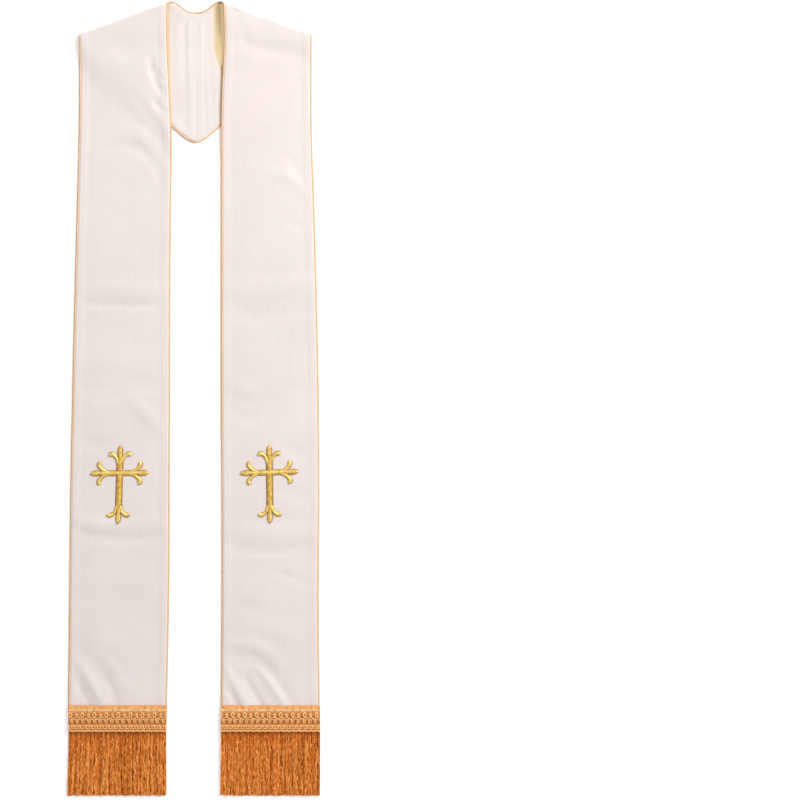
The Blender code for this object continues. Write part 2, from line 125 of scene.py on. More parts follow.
@dataclass(frozen=True)
class SmoothTable:
    """Listed rows of values, read on a smooth curve through them."""

    rows: tuple[tuple[float, ...], ...]

    def read(self, column: int, key: Array) -> Array:
        """Read a column between its rows.

        Args:
            column: Which value of a row to read.
            key: Places at which to read it, in the units of the first value.

        Returns:
            The value at each place.
        """
        keys = np.array([row[0] for row in self.rows])
        values = np.array([row[column] for row in self.rows])
        low = np.maximum(np.arange(len(keys)) - 1, 0)
        high = np.minimum(np.arange(len(keys)) + 1, len(keys) - 1)
        slopes = (values[high] - values[low]) / (keys[high] - keys[low])
        after = np.clip(np.searchsorted(keys, key), 1, len(keys) - 1)
        before = after - 1
        span = keys[after] - keys[before]
        t = np.clip((key - keys[before]) / span, 0.0, 1.0)
        start_pull = span * slopes[before] * t * (1.0 - t) ** 2
        end_pull = span * slopes[after] * t * t * (1.0 - t)
        return blend(values[before], values[after], smooth(t)) + start_pull - end_pull


@dataclass(frozen=True)
class Crease:
    """A soft fold of the cloth along a path, a trough where its rise is negative.

    The half width and the path's out, height and rise are in millimetres.
    """

    half_width: float
    path: tuple[tuple[float, float, float], ...]

    def rise_at(self, out: Array, height: Array) -> Array:
        """Height that the fold adds to the cloth.

        Args:
            out: Distances from the centre line.
            height: Heights above the hem.

        Returns:
            The rise at each place.
        """
        nearest = np.full(np.shape(out), np.inf)
        rise = np.zeros(np.shape(out))
        points = np.array(self.path) * MM
        for start, end in zip(points, points[1:]):
            step = end[:2] - start[:2]
            share = ((out - start[0]) * step[0] + (height - start[1]) * step[1]) / (step @ step)
            share = np.clip(share, 0.0, 1.0)
            away = np.hypot(out - start[0] - share * step[0], height - start[1] - share * step[1])
            rise = np.where(away < nearest, blend(start[2], end[2], share), rise)
            nearest = np.minimum(away, nearest)
        shape = np.clip(1.0 - (nearest / (self.half_width * MM)) ** 2, 0.0, 1.0)
        return rise * shape * shape


@dataclass(frozen=True)
class YokeShape:
    """The back neck's edge and the yoke's pointed lower edge."""

    dip_height: float = 1.1295
    peak_rise: float = 0.0169
    peak_out: float = 0.0366
    dip_hollow: float = 1.6
    point_height: float = 0.9245
    point_round: float = 0.0180
    point_flat: float = 0.0300
    corner_out: float = 0.1826
    corner_height: float = 1.0950

    @property
    def steep(self) -> float:
        """Rise of the lower edge for each metre out."""
        run = math.hypot(self.corner_out, self.point_round) - self.point_round
        return (self.corner_height - self.point_height) / run

    def neck_height(self, out: Array) -> Array:
        """Height of the neck's edge, a dip between two rounded peaks."""
        return self.dip_height + self.peak_rise * smooth(out / self.peak_out) ** self.dip_hollow

    def lower_height(self, out: Array) -> Array:
        """Height of the lower edge, straight from the shoulder to a rounded point."""
        return self.point_height + self.steep * (np.hypot(out, self.point_round) - self.point_round)

    def neck_cord(self, out: Array) -> Array:
        """Places of the neck's cord, as out and height."""
        return np.stack([out, self.neck_height(out) - CORD_RADIUS], axis=-1)

    def lower_cord(self, out: Array) -> Array:
        """Places of the lower edge's cord, as out and height."""
        lean = self.steep * smooth(out / self.point_flat)
        return np.stack([out, self.lower_height(out) + CORD_RADIUS * np.hypot(1.0, lean)], axis=-1)


@dataclass(frozen=True)
class ShoulderFold:
    """The half-round fold along the shoulder, with the lining inside."""

    slope: float = math.radians(19.9)
    radius: float = 0.0017
    settles_over: float = 0.050

    @property
    def reach(self) -> float:
        """Distance from the fold's axis to its outer line."""
        return self.radius + LAYERS

    @property
    def arc(self) -> float:
        """Length of lining in a quarter of a turn."""
        return 0.5 * math.pi * self.radius

    @property
    def top(self) -> float:
        """Height of the lining where the front leaves the fold."""
        return self.reach + self.radius

    def to_fold(self, out: Array, height: Array, yoke: YokeShape) -> tuple[Array, Array]:
        """Turn places into distances along and across the fold's outer line.

        Args:
            out: Distances from the centre line.
            height: Heights above the hem.
            yoke: The shape that gives the shoulder corner.

        Returns:
            The distances along the fold and across it.
        """
        x, y = out - yoke.corner_out, height - yoke.corner_height
        cosine, sine = math.cos(self.slope), math.sin(self.slope)
        return x * cosine - y * sine, x * sine + y * cosine

    def from_fold(self, along: Array, across: Array, yoke: YokeShape) -> tuple[Array, Array]:
        """Turn distances along and across the fold's outer line back into places.

        Args:
            along: Distances along the fold, away from the neck.
            across: Distances across it, away from the fronts.
            yoke: The shape that gives the shoulder corner.

        Returns:
            The distances out and the heights.
        """
        cosine, sine = math.cos(self.slope), math.sin(self.slope)
        out = yoke.corner_out + along * cosine + across * sine
        return out, yoke.corner_height - along * sine + across * cosine


YOKE = YokeShape()
FOLD = ShoulderFold()

# The mark past which a place in the painted warm shade also gives off painted warm light, standing in for light
# thrown back from the front's cord
PAINTED_BOUNCE_FROM = 0.92


def straight_grain(pattern: Array) -> Array:
    """Turn pattern points so that they count across and along the front's threads.

    Args:
        pattern: Points of the flat cut, along and across the shoulder fold.

    Returns:
        The same points, across the front and up it.
    """
    sine, cosine = math.sin(FOLD.slope), math.cos(FOLD.slope)
    along, across = pattern[..., 0], pattern[..., 1]
    return np.stack([along * cosine + across * sine, across * cosine - along * sine], axis=-1)


@dataclass(frozen=True)
class StoleSide:
    """One side of the stole: its outline, its folds and how its layers lie."""

    hand: Hand
    outline: SmoothTable
    front_creases: tuple[Crease, ...]
    yoke_creases: tuple[Crease, ...]
    neck_lift: float
    # The neck's painted warm shade on the yoke: its full width beside the front and the width over which it fades
    neck_shade: float
    neck_fade: float
    cross_place: tuple[float, float]
    cross_lean: tuple[float, float]

    over_yoke: float = 0.0033
    yoke_edge_clear: float = 0.005
    yoke_edge_slope: float = 0.038
    heading_thick: float = 0.0015
    hem_slope: float = 0.060
    loft: float = 0.0007
    loft_over: float = 0.045
    edge_keeps: float = 0.35
    # Where the painted warm shade starts and grows, its fade and share lower down, and the reach of the painted
    # warm light
    shade_from: float = 1.022
    shade_over: float = 0.060
    shade_edge: float = 0.0035
    shade_below: float = 0.70
    painted_bounce_reach: float = 0.0095
    lift_along: float = 0.075
    lift_down: float = 0.090
    neck_out: float = 0.043
    neck_height: float = 1.125
    floor_ease: float = 0.0004
    hem_edge: float = 0.0123
    tilt_start: float = 0.880
    front_rows: int = 285
    fold_rows: int = 14
    yoke_rows: int = 52
    yoke_crowding: float = 1.6

    def inner(self, height: Array) -> Array:
        """Distance out to the front's inner edge."""
        return self.outline.read(1, height)

    def outer(self, height: Array) -> Array:
        """Distance out to the front's outer edge."""
        return self.outline.read(2, height)

    def world(self, out: Array, height: Array, z: Array) -> Array:
        """Points in the part's own frame."""
        x = CENTRE_LINE_X + self.hand.value * out
        return np.stack(np.broadcast_arrays(x, HEM_Y + height, z), axis=-1)

    def level(self, out: Array, height: Array) -> Array:
        """Height at which the front's lining would lie if it had no folds.

        Args:
            out: Distances from the centre line.
            height: Heights above the hem.

        Returns:
            The lining's height above the surface.
        """
        across = FOLD.to_fold(out, height, YOKE)[1]
        past_yoke = (YOKE.lower_height(out) - height) / math.hypot(1.0, YOKE.steep)
        past_yoke = (past_yoke - self.yoke_edge_clear) / self.yoke_edge_slope
        level = self.over_yoke * (1.0 - smooth(past_yoke))
        from_fold = (-across - FOLD.reach) / FOLD.settles_over
        level = level + (FOLD.top - self.over_yoke) * (1.0 - smooth(from_fold))
        return level + self.heading_thick * (1.0 - smooth((height - HEADING_DEEP) / self.hem_slope))

    def relief(self, out: Array, height: Array) -> Array:
        """Rise and fall of the front's cloth: its loft and its folds.

        Args:
            out: Distances from the centre line.
            height: Heights above the hem.

        Returns:
            What the folds add to the level.
        """
        edge = np.minimum(out - self.inner(height), self.outer(height) - out)
        inside = smooth(edge / self.loft_over)
        total = self.loft * inside
        keeps = blend(self.edge_keeps, 1.0, smooth(edge / (0.5 * self.loft_over)))
        for crease in self.front_creases:
            total = total + crease.rise_at(out, height) * keeps
        return total

    def lift(self, out: Array, height: Array) -> Array:
        """Rise of the front where it stands open at the neck end of the fold."""
        along = 1.0 - smooth((out - self.neck_out) / self.lift_along)
        return self.neck_lift * along * (1.0 - smooth((self.neck_height - height) / self.lift_down))

    def front_z(self, out: Array, height: Array) -> Array:
        """Height of the front's lining with its folds, never below the surface.

        Args:
            out: Distances from the centre line.
            height: Heights above the hem.

        Returns:
            The lining's height above the surface.
        """
        z = self.level(out, height) + self.relief(out, height) + self.lift(out, height)
        eased = 0.5 * (z + np.sqrt(z * z + self.floor_ease**2))
        return eased - 0.5 * self.floor_ease * np.exp(-np.abs(z) / self.floor_ease)

    def yoke_z(self, out: Array, height: Array) -> Array:
        """Rise of the yoke from its own folds.

        Args:
            out: Distances from the centre line.
            height: Heights above the hem.

        Returns:
            The rise above the surface, at least none.
        """
        total = np.zeros(np.shape(out))
        for crease in self.yoke_creases:
            total = total + crease.rise_at(out, height)
        return np.maximum(total, 0.0)

    def painted_warm_shade(self, out: Array, height: Array) -> Array:
        """Share of the painted warm shade on the yoke, in the shadow beside the front; near the front it passes the
        mark at which the lining also gives off painted warm light.

        Args:
            out: Distances from the centre line.
            height: Heights above the hem.

        Returns:
            A share from 0 to 1.
        """
        open_here = smooth((height - self.shade_from) / self.shade_over)
        fades_over = blend(self.shade_edge, self.neck_fade, open_here)
        from_front = self.inner(height) - out
        beside = 1.0 - smooth((from_front - self.neck_shade * open_here) / fades_over)
        beside = beside * blend(self.shade_below, 1.0, smooth((height - self.shade_from) / (0.5 * self.shade_over)))
        return beside * blend(1.0, PAINTED_BOUNCE_FROM, smooth(from_front / self.painted_bounce_reach))

    def face_top(self, out: Array, height: Array) -> Array:
        """Height of the front's upper side."""
        return self.front_z(out, height) + LAYERS

    def lay(self, pattern: Array, offset: Array) -> Array:
        """Lay pattern points over the front, round the fold and under as the yoke.

        Args:
            pattern: Points of the flat cut, along and across the fold.
            offset: Distances from the lining's inner side towards the face.

        Returns:
            The points in the part's own frame.
        """
        along, across = pattern[..., 0], pattern[..., 1]
        flat = np.minimum(np.minimum(across + FOLD.arc, FOLD.arc - across), 0.0)
        turn = np.clip(across, -FOLD.arc, FOLD.arc) / FOLD.radius
        round_off = FOLD.radius + offset
        out, height = FOLD.from_fold(along, flat + round_off * np.cos(turn) - FOLD.reach, YOKE)
        z = FOLD.reach - round_off * np.sin(turn)
        front_share = 0.5 - 0.5 * np.sin(turn)
        front = self.front_z(out, height) - FOLD.top
        return self.world(out, height, z + blend(self.yoke_z(out, height), front, front_share))

    def front_pattern(self, out: Array, height: Array) -> Array:
        """Pattern points of places on the front."""
        along, across = FOLD.to_fold(out, height, YOKE)
        return np.stack([along, np.minimum(across + FOLD.reach, 0.0) - FOLD.arc], axis=-1)

    def yoke_pattern(self, places: Array) -> Array:
        """Pattern points of places on the yoke, which lies turned over."""
        along, across = FOLD.to_fold(places[..., 0], places[..., 1], YOKE)
        return np.stack([along, FOLD.arc + np.maximum(-across - FOLD.reach, 0.0)], axis=-1)

    def fold_height(self, out: float) -> float:
        """Height at which the front runs into the fold."""
        rise = (-FOLD.reach - (out - YOKE.corner_out) * math.sin(FOLD.slope)) / math.cos(FOLD.slope)
        return YOKE.corner_height + rise

    def out_on_fold(self, cord: Edge) -> float:
        """Distance out at which a cord of the yoke runs into the fold.

        Args:
            cord: The neck's cord or the lower edge's.

        Returns:
            The distance from the centre line.
        """
        line = YOKE.neck_cord if cord is Edge.NECK else YOKE.lower_cord
        low, high = 0.0, YOKE.peak_out if cord is Edge.NECK else YOKE.corner_out
        for _ in range(40):
            middle = 0.5 * (low + high)
            place = line(np.array(middle))
            inside = -FOLD.to_fold(place[0], place[1], YOKE)[1] > FOLD.reach
            low, high = (middle, high) if inside else (low, middle)
        return low

    def cord_rows(self) -> tuple[Array, Array]:
        """Pattern points of the two cord lines, from the hem to the centre back.

        Returns:
            The inner line's points and the outer line's.
        """
        inner_top = self.fold_height(float(self.inner(YOKE.corner_height)) + CORD_RADIUS)
        outer_top = self.fold_height(float(self.outer(YOKE.corner_height)) - CORD_RADIUS)
        height = np.linspace(self.hem_edge, inner_top, self.front_rows)
        tilt = smooth((height - self.tilt_start) / (inner_top - self.tilt_start))
        low = height - tilt * (inner_top - outer_top)
        inner = self.front_pattern(self.inner(height) + CORD_RADIUS, height)
        outer = self.front_pattern(self.outer(low) - CORD_RADIUS, low)
        share = np.linspace(1.0, 0.0, self.yoke_rows)
        neck = self.yoke_pattern(YOKE.neck_cord(self.out_on_fold(Edge.NECK) * share))
        lower_out = self.out_on_fold(Edge.OUTER) * share**self.yoke_crowding
        lower = self.yoke_pattern(YOKE.lower_cord(lower_out))
        turn = np.linspace(0.0, 1.0, self.fold_rows + 2)[1:-1, None]
        fold_inner = blend(inner[-1], neck[0], turn)
        fold_outer = blend(outer[-1], lower[0], turn)
        return np.concatenate([inner, fold_inner, neck]), np.concatenate([outer, fold_outer, lower])

    def turned(self, pattern: Array) -> Array:
        """0 on the front, 1 on the yoke, and between them round the fold."""
        return 0.5 + 0.5 * np.clip(pattern[..., 1] / FOLD.arc, -1.0, 1.0)

    def band_point(self, share: Array, height: Array, z: Array) -> Array:
        """Points of a band that spans the front: share runs from its inner edge to its outer."""
        return self.world(blend(self.inner(height), self.outer(height), share), height, z)


# Outlines of the two fronts: height, out to the inner edge, out to the outer edge
LEFT_OUTLINE = SmoothTable((
    (-0.1005, 0.0456, 0.2019),
    (0.0000, 0.0460, 0.1994),
    (0.0500, 0.0446, 0.2002),
    (0.2070, 0.0413, 0.1987),
    (0.3640, 0.0403, 0.1971),
    (0.5210, 0.0396, 0.1941),
    (0.6780, 0.0394, 0.1905),
    (0.8350, 0.0382, 0.1863),
    (0.9290, 0.0370, 0.1838),
    (1.0070, 0.0396, 0.1830),
    (1.0860, 0.0430, 0.1832),
    (1.1500, 0.0432, 0.1838),
))
RIGHT_OUTLINE = SmoothTable((
    (-0.1005, 0.0385, 0.1954),
    (0.0000, 0.0394, 0.1956),
    (0.0500, 0.0396, 0.1950),
    (0.2070, 0.0404, 0.1935),
    (0.3640, 0.0405, 0.1946),
    (0.5210, 0.0395, 0.1938),
    (0.6780, 0.0393, 0.1908),
    (0.8350, 0.0393, 0.1865),
    (0.9290, 0.0394, 0.1832),
    (1.0070, 0.0410, 0.1825),
    (1.0860, 0.0446, 0.1828),
    (1.1500, 0.0436, 0.1838),
))

# Folds of the left front, from the hem up: half width; out, height and rise along the path
LEFT_FRONT_CREASES = (
    Crease(7, ((192, 86, -0.6), (178, 62, -1.9), (166, 40, -1.3))),
    Crease(11, ((188, 112, 0.8), (166, 80, 2.2), (146, 46, 2.0))),
    Crease(9, ((184, 132, -0.7), (152, 100, -2.3), (132, 70, -2.2), (124, 46, -1.2))),
    Crease(10, ((150, 128, 0.3), (126, 98, 0.9), (108, 66, 0.6))),
    Crease(15, ((48, 160, -1.3), (80, 126, -1.1), (118, 84, -1.1))),
    Crease(22, ((160, 150, 0.6), (120, 132, 0.9), (85, 158, 0.6))),
    Crease(30, ((172, 234, 0.5), (115, 238, 1.0), (58, 234, 0.5))),
    Crease(10, ((190, 309, -0.9), (155, 304, -1.3), (110, 301, -0.8), (50, 305, -0.6))),
    Crease(17, ((184, 330, 1.0), (155, 325, 1.5), (110, 322, 1.0), (52, 327, 0.7))),
    Crease(14, ((182, 458, -0.3), (156, 448, -1.0), (132, 455, -0.2))),
    Crease(17, ((104, 522, 0.3), (86, 506, 1.3), (62, 482, 0.9), (46, 466, 0.2))),
    Crease(18, ((182, 528, -0.7), (130, 534, -1.5), (92, 546, -1.4), (48, 544, -0.6))),
    Crease(26, ((172, 578, 0.5), (110, 582, 0.9), (60, 588, 0.5))),
    Crease(9, ((186, 675, -0.6), (150, 669, -0.9), (100, 668, -1.0), (46, 671, -0.8))),
    Crease(6, ((178, 668, 0.0), (150, 658, 0.5), (128, 652, 0.0))),
    Crease(22, ((176, 694, 0.7), (110, 693, 1.4), (50, 691, 0.9))),
    Crease(9, ((176, 894, -0.5), (160, 890, 0.0))),
    Crease(11, ((142, 914, -0.2), (106, 921, -0.9), (84, 911, -1.2), (64, 887, -1.2), (48, 858, -0.5))),
    Crease(16, ((124, 944, 0.3), (88, 940, 1.0), (62, 916, 1.0), (46, 890, 0.4))),
    Crease(24, ((156, 1058, -0.2), (130, 1022, -0.7), (100, 986, -0.8), (74, 954, -1.2), (48, 918, -0.7))),
    Crease(9, ((112, 1010, 0.0), (88, 988, -0.6), (62, 956, -0.7), (48, 934, -0.2))),
    Crease(26, ((152, 1088, -0.5), (112, 1072, -1.2), (78, 1076, -0.4))),
    Crease(6, ((72, 1066, 0.0), (68, 1038, -2.6), (60, 1014, -2.2), (49, 1000, -0.4))),
    Crease(4, ((63, 1048, 0.0), (58, 1030, -1.7), (49, 1020, -0.4))),
    Crease(5, ((69, 1000, 0.0), (61, 984, -2.0), (47, 972, -0.9))),
    Crease(7, ((62, 1100, 0.0), (57, 1076, -0.7), (60, 1060, 0.0))),
)

# Folds of the right front, in the same order
RIGHT_FRONT_CREASES = (
    Crease(6, ((46, 70, -0.8), (58, 54, -1.7), (68, 38, -1.2))),
    Crease(9, ((46, 100, 1.0), (64, 70, 2.0), (80, 40, 1.7))),
    Crease(7, ((76, 88, -1.0), (92, 60, -2.2), (106, 38, -1.8))),
    Crease(10, ((94, 110, 1.0), (118, 76, 2.0), (142, 40, 1.6))),
    Crease(11, ((46, 110, -1.8), (92, 114, -2.5), (114, 96, -2.2), (134, 72, -1.6), (146, 50, -0.8))),
    Crease(14, ((132, 76, -1.0), (155, 110, -1.3), (182, 152, -0.8))),
    Crease(15, ((50, 138, 1.2), (92, 137, 1.5), (120, 120, 0.9), (136, 100, 0.4))),
    Crease(22, ((60, 160, 0.4), (110, 162, 0.8), (160, 146, 0.5))),
    Crease(16, ((52, 202, -0.6), (84, 195, -0.9), (112, 191, -0.2))),
    Crease(8, ((126, 252, -0.2), (150, 241, -1.1), (188, 233, -0.9))),
    Crease(10, ((48, 289, -0.9), (90, 283, -1.5), (140, 283, -1.4), (188, 292, -1.0))),
    Crease(22, ((52, 312, 0.8), (110, 311, 1.4), (178, 314, 0.9))),
    Crease(18, ((122, 388, -0.3), (152, 372, -0.7), (186, 364, -0.8))),
    Crease(14, ((138, 446, -0.4), (178, 430, -0.8))),
    Crease(14, ((50, 498, -0.6), (84, 491, -1.4), (112, 505, -0.9), (150, 534, -0.8), (174, 548, -0.3))),
    Crease(21, ((48, 546, 0.4), (90, 535, 1.3), (130, 560, 1.0), (178, 580, 0.5))),
    Crease(17, ((48, 666, -0.5), (96, 650, -0.8), (150, 660, -0.6), (188, 676, -0.5))),
    Crease(25, ((54, 694, 0.7), (110, 694, 1.4), (178, 704, 1.0))),
    Crease(9, ((142, 798, 0.0), (160, 793, -0.8), (182, 790, -0.7))),
    Crease(14, ((112, 882, 0.3), (144, 872, 0.9), (172, 850, 0.7))),
    Crease(10, ((136, 908, 0.0), (154, 892, -1.2), (171, 873, -1.2), (180, 846, -0.5))),
    Crease(8, ((98, 934, 0.0), (116, 946, -0.5), (142, 956, 0.0))),
    Crease(5, ((156, 1024, 0.0), (172, 1022, -1.7), (188, 1024, -1.4))),
    Crease(4, ((166, 1034, 0.0), (178, 1033, -0.9), (188, 1036, -0.6))),
    Crease(18, ((58, 1082, -0.5), (104, 1072, -1.1), (150, 1066, -1.0), (176, 1060, -0.4))),
    Crease(5, ((46, 1032, -0.5), (58, 1030, 0.0))),
    Crease(11, ((72, 1108, -0.4), (79, 1086, -0.7), (84, 1070, 0.0))),
)

# Folds of the two yoke halves, which the lining shows between the fronts
LEFT_YOKE_CREASES = (
    Crease(5, ((12, 1112, 0.3), (11, 1062, 0.2), (10, 1000, 0.1))),
    Crease(9, ((26, 1118, 0.3), (27, 1060, 0.4), (24, 1000, 0.2))),
    Crease(11, ((5, 1010, 0.1), (7, 975, 0.3), (6, 945, 0.2))),
    Crease(24, ((60, 1085, 0.2), (100, 1075, 0.5), (120, 1062, 0.1))),
)
RIGHT_YOKE_CREASES = (
    Crease(4, ((8, 1112, 0.3), (9, 1062, 0.2), (10, 1010, 0.1))),
    Crease(7, ((16, 1085, 0.2), (17, 1035, 0.3), (20, 985, 0.4), (21, 950, 0.2))),
    Crease(8, ((30, 1050, 0.2), (32, 1005, 0.4), (31, 955, 0.2))),
    Crease(22, ((58, 1080, 0.2), (95, 1070, 0.5), (125, 1058, 0.1))),
)

LEFT_SIDE = StoleSide(
    hand=Hand.LEFT,
    outline=LEFT_OUTLINE,
    front_creases=LEFT_FRONT_CREASES,
    yoke_creases=LEFT_YOKE_CREASES,
    neck_lift=0.0020,
    neck_shade=0.0010,
    neck_fade=0.0040,
    cross_place=(0.1193, 0.4058),
    cross_lean=(math.radians(1.8), math.radians(0.7)),
)
RIGHT_SIDE = StoleSide(
    hand=Hand.RIGHT,
    outline=RIGHT_OUTLINE,
    front_creases=RIGHT_FRONT_CREASES,
    yoke_creases=RIGHT_YOKE_CREASES,
    neck_lift=0.0048,
    neck_shade=0.0120,
    neck_fade=0.0110,
    cross_place=(0.1159, 0.4068),
    cross_lean=(math.radians(-0.7), math.radians(1.7)),
)


class PieceSketch:
    """Collects the points, faces, grain and marks of one piece before it is made."""

    def __init__(self, name: str) -> None:
        """Start an empty piece.

        Args:
            name: The piece's name.
        """
        self.name = name
        self.points: list[Array] = []
        self.faces: list[list[int]] = []
        self.grain: list[Array] = []
        self.tones: list[Array] = []
        self.count = 0

    def add_grid(self, points: Array, grain: Array, tone: Array, closed: bool = False) -> None:
        """Add a grid of faces.

        Args:
            points: Rows of points, in the part's frame.
            grain: The cloth or thread's own directions at each corner, in metres. A closed
                grid has one more column here than it has points.
            tone: A mark from 0 to 1 for the finish, the same shape as the points' rows.
            closed: Whether the last column joins the first, as round a cord.
        """
        rows, columns = points.shape[:2]
        wide = columns if closed else columns - 1
        i, j = np.meshgrid(np.arange(rows - 1), np.arange(wide), indexing="ij")
        near, far = j, (j + 1) % columns
        corners = (i * columns + near, i * columns + far, (i + 1) * columns + far, (i + 1) * columns + near)
        quads = np.stack(corners, axis=-1).reshape(-1, 4) + self.count
        spots = ((i, j), (i, j + 1), (i + 1, j + 1), (i + 1, j))
        self.grain.append(np.stack([grain[a, b] for a, b in spots], axis=2).reshape(-1, 2))
        self.faces.extend(quads.tolist())
        self.points.append(points.reshape(-1, 3))
        self.tones.append(np.broadcast_to(tone, (rows, columns)).reshape(-1))
        self.count += rows * columns

    def add_cap(self, ring: list[int], grain: Array) -> None:
        """Close a cord's end with one face."""
        self.faces.append(ring)
        self.grain.append(np.broadcast_to(grain, (len(ring), 2)))

    def add_shell(self, upper: Array, lower: Array, flat: Array, tone: Array, flip: bool) -> None:
        """Add a thin closed shell: two skins, two edges and two ends.

        Args:
            upper: Rows of points of one skin, in the part's frame.
            lower: The same rows of the other skin.
            flat: Where the points lie in the flat cloth, in metres.
            tone: A mark from 0 to 1 for the finish, one for each point or each row.
            flip: Whether the rows change their order, which turns the faces outward.
        """
        tone = np.broadcast_to(tone, flat.shape[:2])
        ring = np.concatenate([upper, lower[:, ::-1]], axis=1)
        grain = np.concatenate([flat, flat[:, ::-1], flat[:, :1]], axis=1)
        marks = np.concatenate([tone, tone[:, ::-1]], axis=1)
        if flip:
            ring, grain, marks = ring[::-1], grain[::-1], marks[::-1]
        first = self.count
        self.add_grid(ring, grain, marks, closed=True)
        rows, count = ring.shape[:2]
        for row in (0, rows - 1):
            base = first + row * count
            for k in range(count // 2 - 1):
                quad = [base + k, base + count - 1 - k, base + count - 2 - k, base + k + 1]
                self.add_cap(quad[::-1] if row else quad, grain[row, k])

    def add_cord(self, path: Array, radius: Array, up: Array, tone: Array, sides: int = 8) -> None:
        """Add a round cord with closed ends.

        Args:
            path: Points along the middle of the cord.
            radius: Its radius, one number or one for each point.
            up: A direction that the path never runs along, or one for each point.
            tone: A mark from 0 to 1 for the finish: one number, one for each point of the
                path, or one for each point round it too.
            sides: Number of faces round it.
        """
        ahead = unit(np.gradient(path, axis=0))
        across = unit(np.cross(ahead, np.broadcast_to(up, path.shape)))
        above = np.cross(ahead, across)
        turn = np.linspace(0.0, 2.0 * math.pi, sides, endpoint=False)
        radius = np.broadcast_to(radius, (len(path),))[:, None, None]
        round_it = np.cos(turn)[None, :, None] * across[:, None] + np.sin(turn)[None, :, None] * above[:, None]
        along = np.concatenate([[0.0], np.cumsum(np.linalg.norm(np.diff(path, axis=0), axis=1))])
        share = np.linspace(0.0, 1.0, sides + 1)
        grain = np.stack(np.broadcast_arrays(along[:, None], share[None]), axis=-1)
        first = self.count
        tone = tone if np.ndim(tone) == 2 else np.reshape(tone, (-1, 1))
        self.add_grid(path[:, None] + radius * round_it, grain, tone, closed=True)
        last = self.count - sides
        self.add_cap([first + k for k in range(sides)][::-1], grain[0, 0])
        self.add_cap([last + k for k in range(sides)], grain[-1, 0])

    def make(self, finish: bpy.types.Material, slot: str, sharp: float = 60.0) -> bpy.types.Object:
        """Turn the sketch into a piece that rides on the stole's body.

        Args:
            finish: The piece's material.
            slot: A material slot's name; not used.
            sharp: Edges over this many degrees stay sharp.

        Returns:
            The new object.
        """
        mesh = bpy.data.meshes.new(self.name)
        mesh.from_pydata(np.concatenate(self.points).tolist(), [], self.faces)
        grain = mesh.uv_layers.new(name="grain")
        grain.data.foreach_set("uv", np.concatenate(self.grain).astype(np.float32).ravel())
        tone = mesh.attributes.new("tone", "FLOAT", "POINT")
        tone.data.foreach_set("value", np.concatenate(self.tones).astype(np.float32))
        mesh.validate()
        mesh.shade_smooth()
        mesh.set_sharp_from_angle(angle=math.radians(sharp))
        mesh.materials.append(finish)
        piece = bpy.data.objects.new(self.name, mesh)
        bpy.context.scene.collection.objects.link(piece)
        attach(piece, "root")
        return piece


